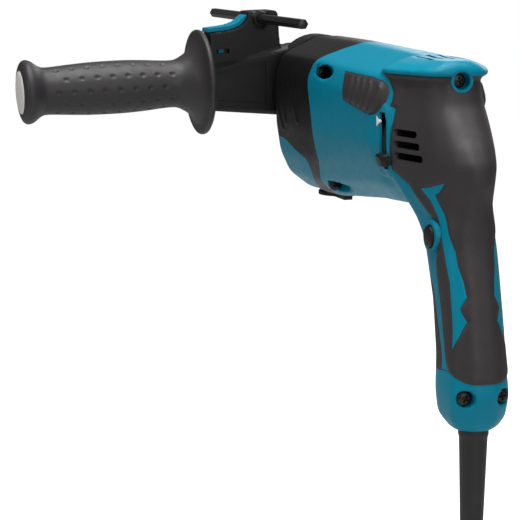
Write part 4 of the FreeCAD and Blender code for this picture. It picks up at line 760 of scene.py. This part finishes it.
def dimpled(out, radius, turn):
    """The grip's radius at a distance out and a turn, less the dimple there if there is one."""
    if not 104 < out < 192:
        return radius
    depth = 0
    for row in range(DIMPLE_ROWS):
        away = (turn - math.radians(row * 360 / DIMPLE_ROWS - 31) + math.pi) % (2 * math.pi) - math.pi
        start = 107 + (row % 2) * 5.5
        near = round((out - start) / DIMPLE_STEP)
        if abs(away) * radius < 3 and 0 <= near < DIMPLES:
            gap = math.hypot(away * radius, out - start - near * DIMPLE_STEP)
            depth += DIMPLE_DEPTH * math.exp(-(gap / DIMPLE_RADIUS) ** 4)
    return radius - depth


along = tilted(0, -1, 0) - tilted(0, 0, 0)
grip_turns = [2 * math.pi * k / GRIP_SIDES for k in range(GRIP_SIDES)]
grip_rings = []
for out, radius in fine_profile(GRIP, 0.85):
    reaches = [(dimpled(out, radius, t), t) for t in grip_turns]
    grip_rings.append([tilted(r * math.cos(t), -out, r * math.sin(t)) for r, t in reaches])
piece(closed("grip", grip_rings), "side_grip_rubber", "side_grip_set", "black_rubber", grip_rubber, "side_grip",
      angle=50)
DISC = [(204.5, 14.2), (206.3, 14.2), (206.9, 13.6), (207.4, 11), (207.7, 6), (207.8, 0.1)]
disc = turned("disc", fine_profile(DISC, 0.6), at(0, 0, 0), along)
piece(disc, "grip_cap", "side_grip_set", "white_plastic", white, "grip_end_disc")

# the depth rod's lock, its upper and lower edges: sides with heights
LEVER_TOP = [(-51.6, 43.8), (-53.4, 43.4), (-55.4, 42), (-58, 39.8), (-61, 38.2), (-65, 37.2), (-70, 36.6),
             (-79.6, 35.9)]
LEVER_LOW = [(-80.2, 33), (-66, 34), (-61, 35.2), (-57.4, 36.9), (-54.6, 39.1), (-53.4, 41.2), (-51.6, 41.8)]
blade = closed("blade", [[tilted(x, y, z) for y, z in LEVER_TOP + LEVER_LOW] for x in (-7, 7)])
RIB = [(-54.8, 42.4), (-55.8, 41.7), (-55.4, 40.4), (-54.4, 41)]
ribs = [closed("rib", [[tilted(x, y - out, z - down) for y, z in RIB] for x in (-6.2, 6.2)])
        for out, down in ((0, 0), (2, 1.6), (4.2, 2.9), (6.6, 3.8), (9.2, 4.5))]
blade = fused("blade", [blade] + ribs, 0.3, 2)
tab = closed("tab", [[tilted(x, y, z) for y, z in ((-73, 19.2), (-73, 21.8), (-69.6, 21.8), (-69.6, 19.2))]
                     for x in (-7.4, 7.4)])
piece(joined("rod_lock_piece", [blade, tab]), "rod_lock_lever", "rod_lock", "teal_plastic", teal, "depth_rod_lock")
piece(eased("depth_rod", "rod_piece", 0.5), "depth_gauge_rod", "rod", "dark_steel", dark_steel, "depth_rod")

# ---- trigger, buttons, guard ---------------------------------------------------------------------

piece(eased("trigger", "trigger_piece", 1.6), "trigger_key", "trigger_set", "black_plastic", black, "trigger")
piece(eased("lock_button", "lock_piece", 1.0), "lock_key", "button", "black_plastic", black, "lock_button")
piece(eased("mode_knob", "knob_piece", 0.8), "mode_dial", "knob", "black_plastic", black, "mode_knob")
GUARD = [(-9, 8.6), (0, 8.7), (3, 8.7), (4.5, 8.2), (30, 7.4), (60, 6.5), (84, 5.8), (87.4, 5.6),
         (88, 5.0), (88, 4.3)]
guard = turned("guard", fine_profile(GUARD, 1.5), at(262, 0, -182), Vector((0, 0, -1)))
piece(guard, "cord_sleeve", "housing", "black_rubber", cord_rubber, "cord_guard")

# ---- studio --------------------------------------------------------------------------------------


MIDDLE = (-0.05, 0, 0)


def panel(name, where, size, power):
    """A square soft light turned to the tool's middle."""
    light = bpy.data.lights.new(name, "AREA")
    light.shape = "RECTANGLE"
    light.size = light.size_y = size
    light.energy = power
    lamp = bpy.data.objects.new(name, light)
    lamp.location = where
    lamp.rotation_euler = (Vector(MIDDLE) - Vector(where)).to_track_quat("-Z", "Y").to_euler()
    bpy.context.scene.collection.objects.link(lamp)


def seen_level(tree, socket, light, seen):
    """Set a strength to `seen` where the camera looks straight at it, and to `light` for other rays."""
    path = tree.nodes.new("ShaderNodeLightPath")
    level = tree.nodes.new("ShaderNodeMapRange")
    level.inputs["To Min"].default_value = light
    level.inputs["To Max"].default_value = seen
    tree.links.new(path.outputs["Is Camera Ray"], level.inputs["Value"])
    tree.links.new(level.outputs["Result"], socket)


panel("top_light", (0.0, -0.1, 1.3), 1.2, 27)
panel("side_light", (1.5, 0.1, 0.45), 1.0, 6)
panel("left_light", (0.2, -1.6, 0.6), 0.8, 3.5)
panel("back_light", (-1.2, 0.9, 0.7), 1.0, 6)

world = bpy.data.worlds.new("studio")
bpy.context.scene.world = world
world.use_nodes = True
ground = world.node_tree.nodes["Background"]
ground.inputs["Color"].default_value = (1, 1, 1, 1)
seen_level(world.node_tree, ground.inputs["Strength"], 0.12, 1.0)

FLOOR_HALF = 4
floor_mesh = bpy.data.meshes.new("floor")
floor_mesh.from_pydata([(x * FLOOR_HALF, y * FLOOR_HALF, FLOOR_HEIGHT)
                        for x, y in ((-1, -1), (1, -1), (1, 1), (-1, 1))], [], [(0, 1, 2, 3)])
floor = thing("floor", floor_mesh)
paper = finish("floor_paper", (205, 205, 205), 0.9, grain=300, relief=0.02, spread=0.01)
paper_shader = paper.node_tree.nodes["Principled BSDF"]
paper_shader.inputs["Emission Color"].default_value = (1, 1, 1, 1)
seen_level(paper.node_tree, paper_shader.inputs["Emission Strength"], 0.04, 0.93)
floor_mesh.materials.append(paper)

bpy.context.scene.view_settings.view_transform = "Standard"
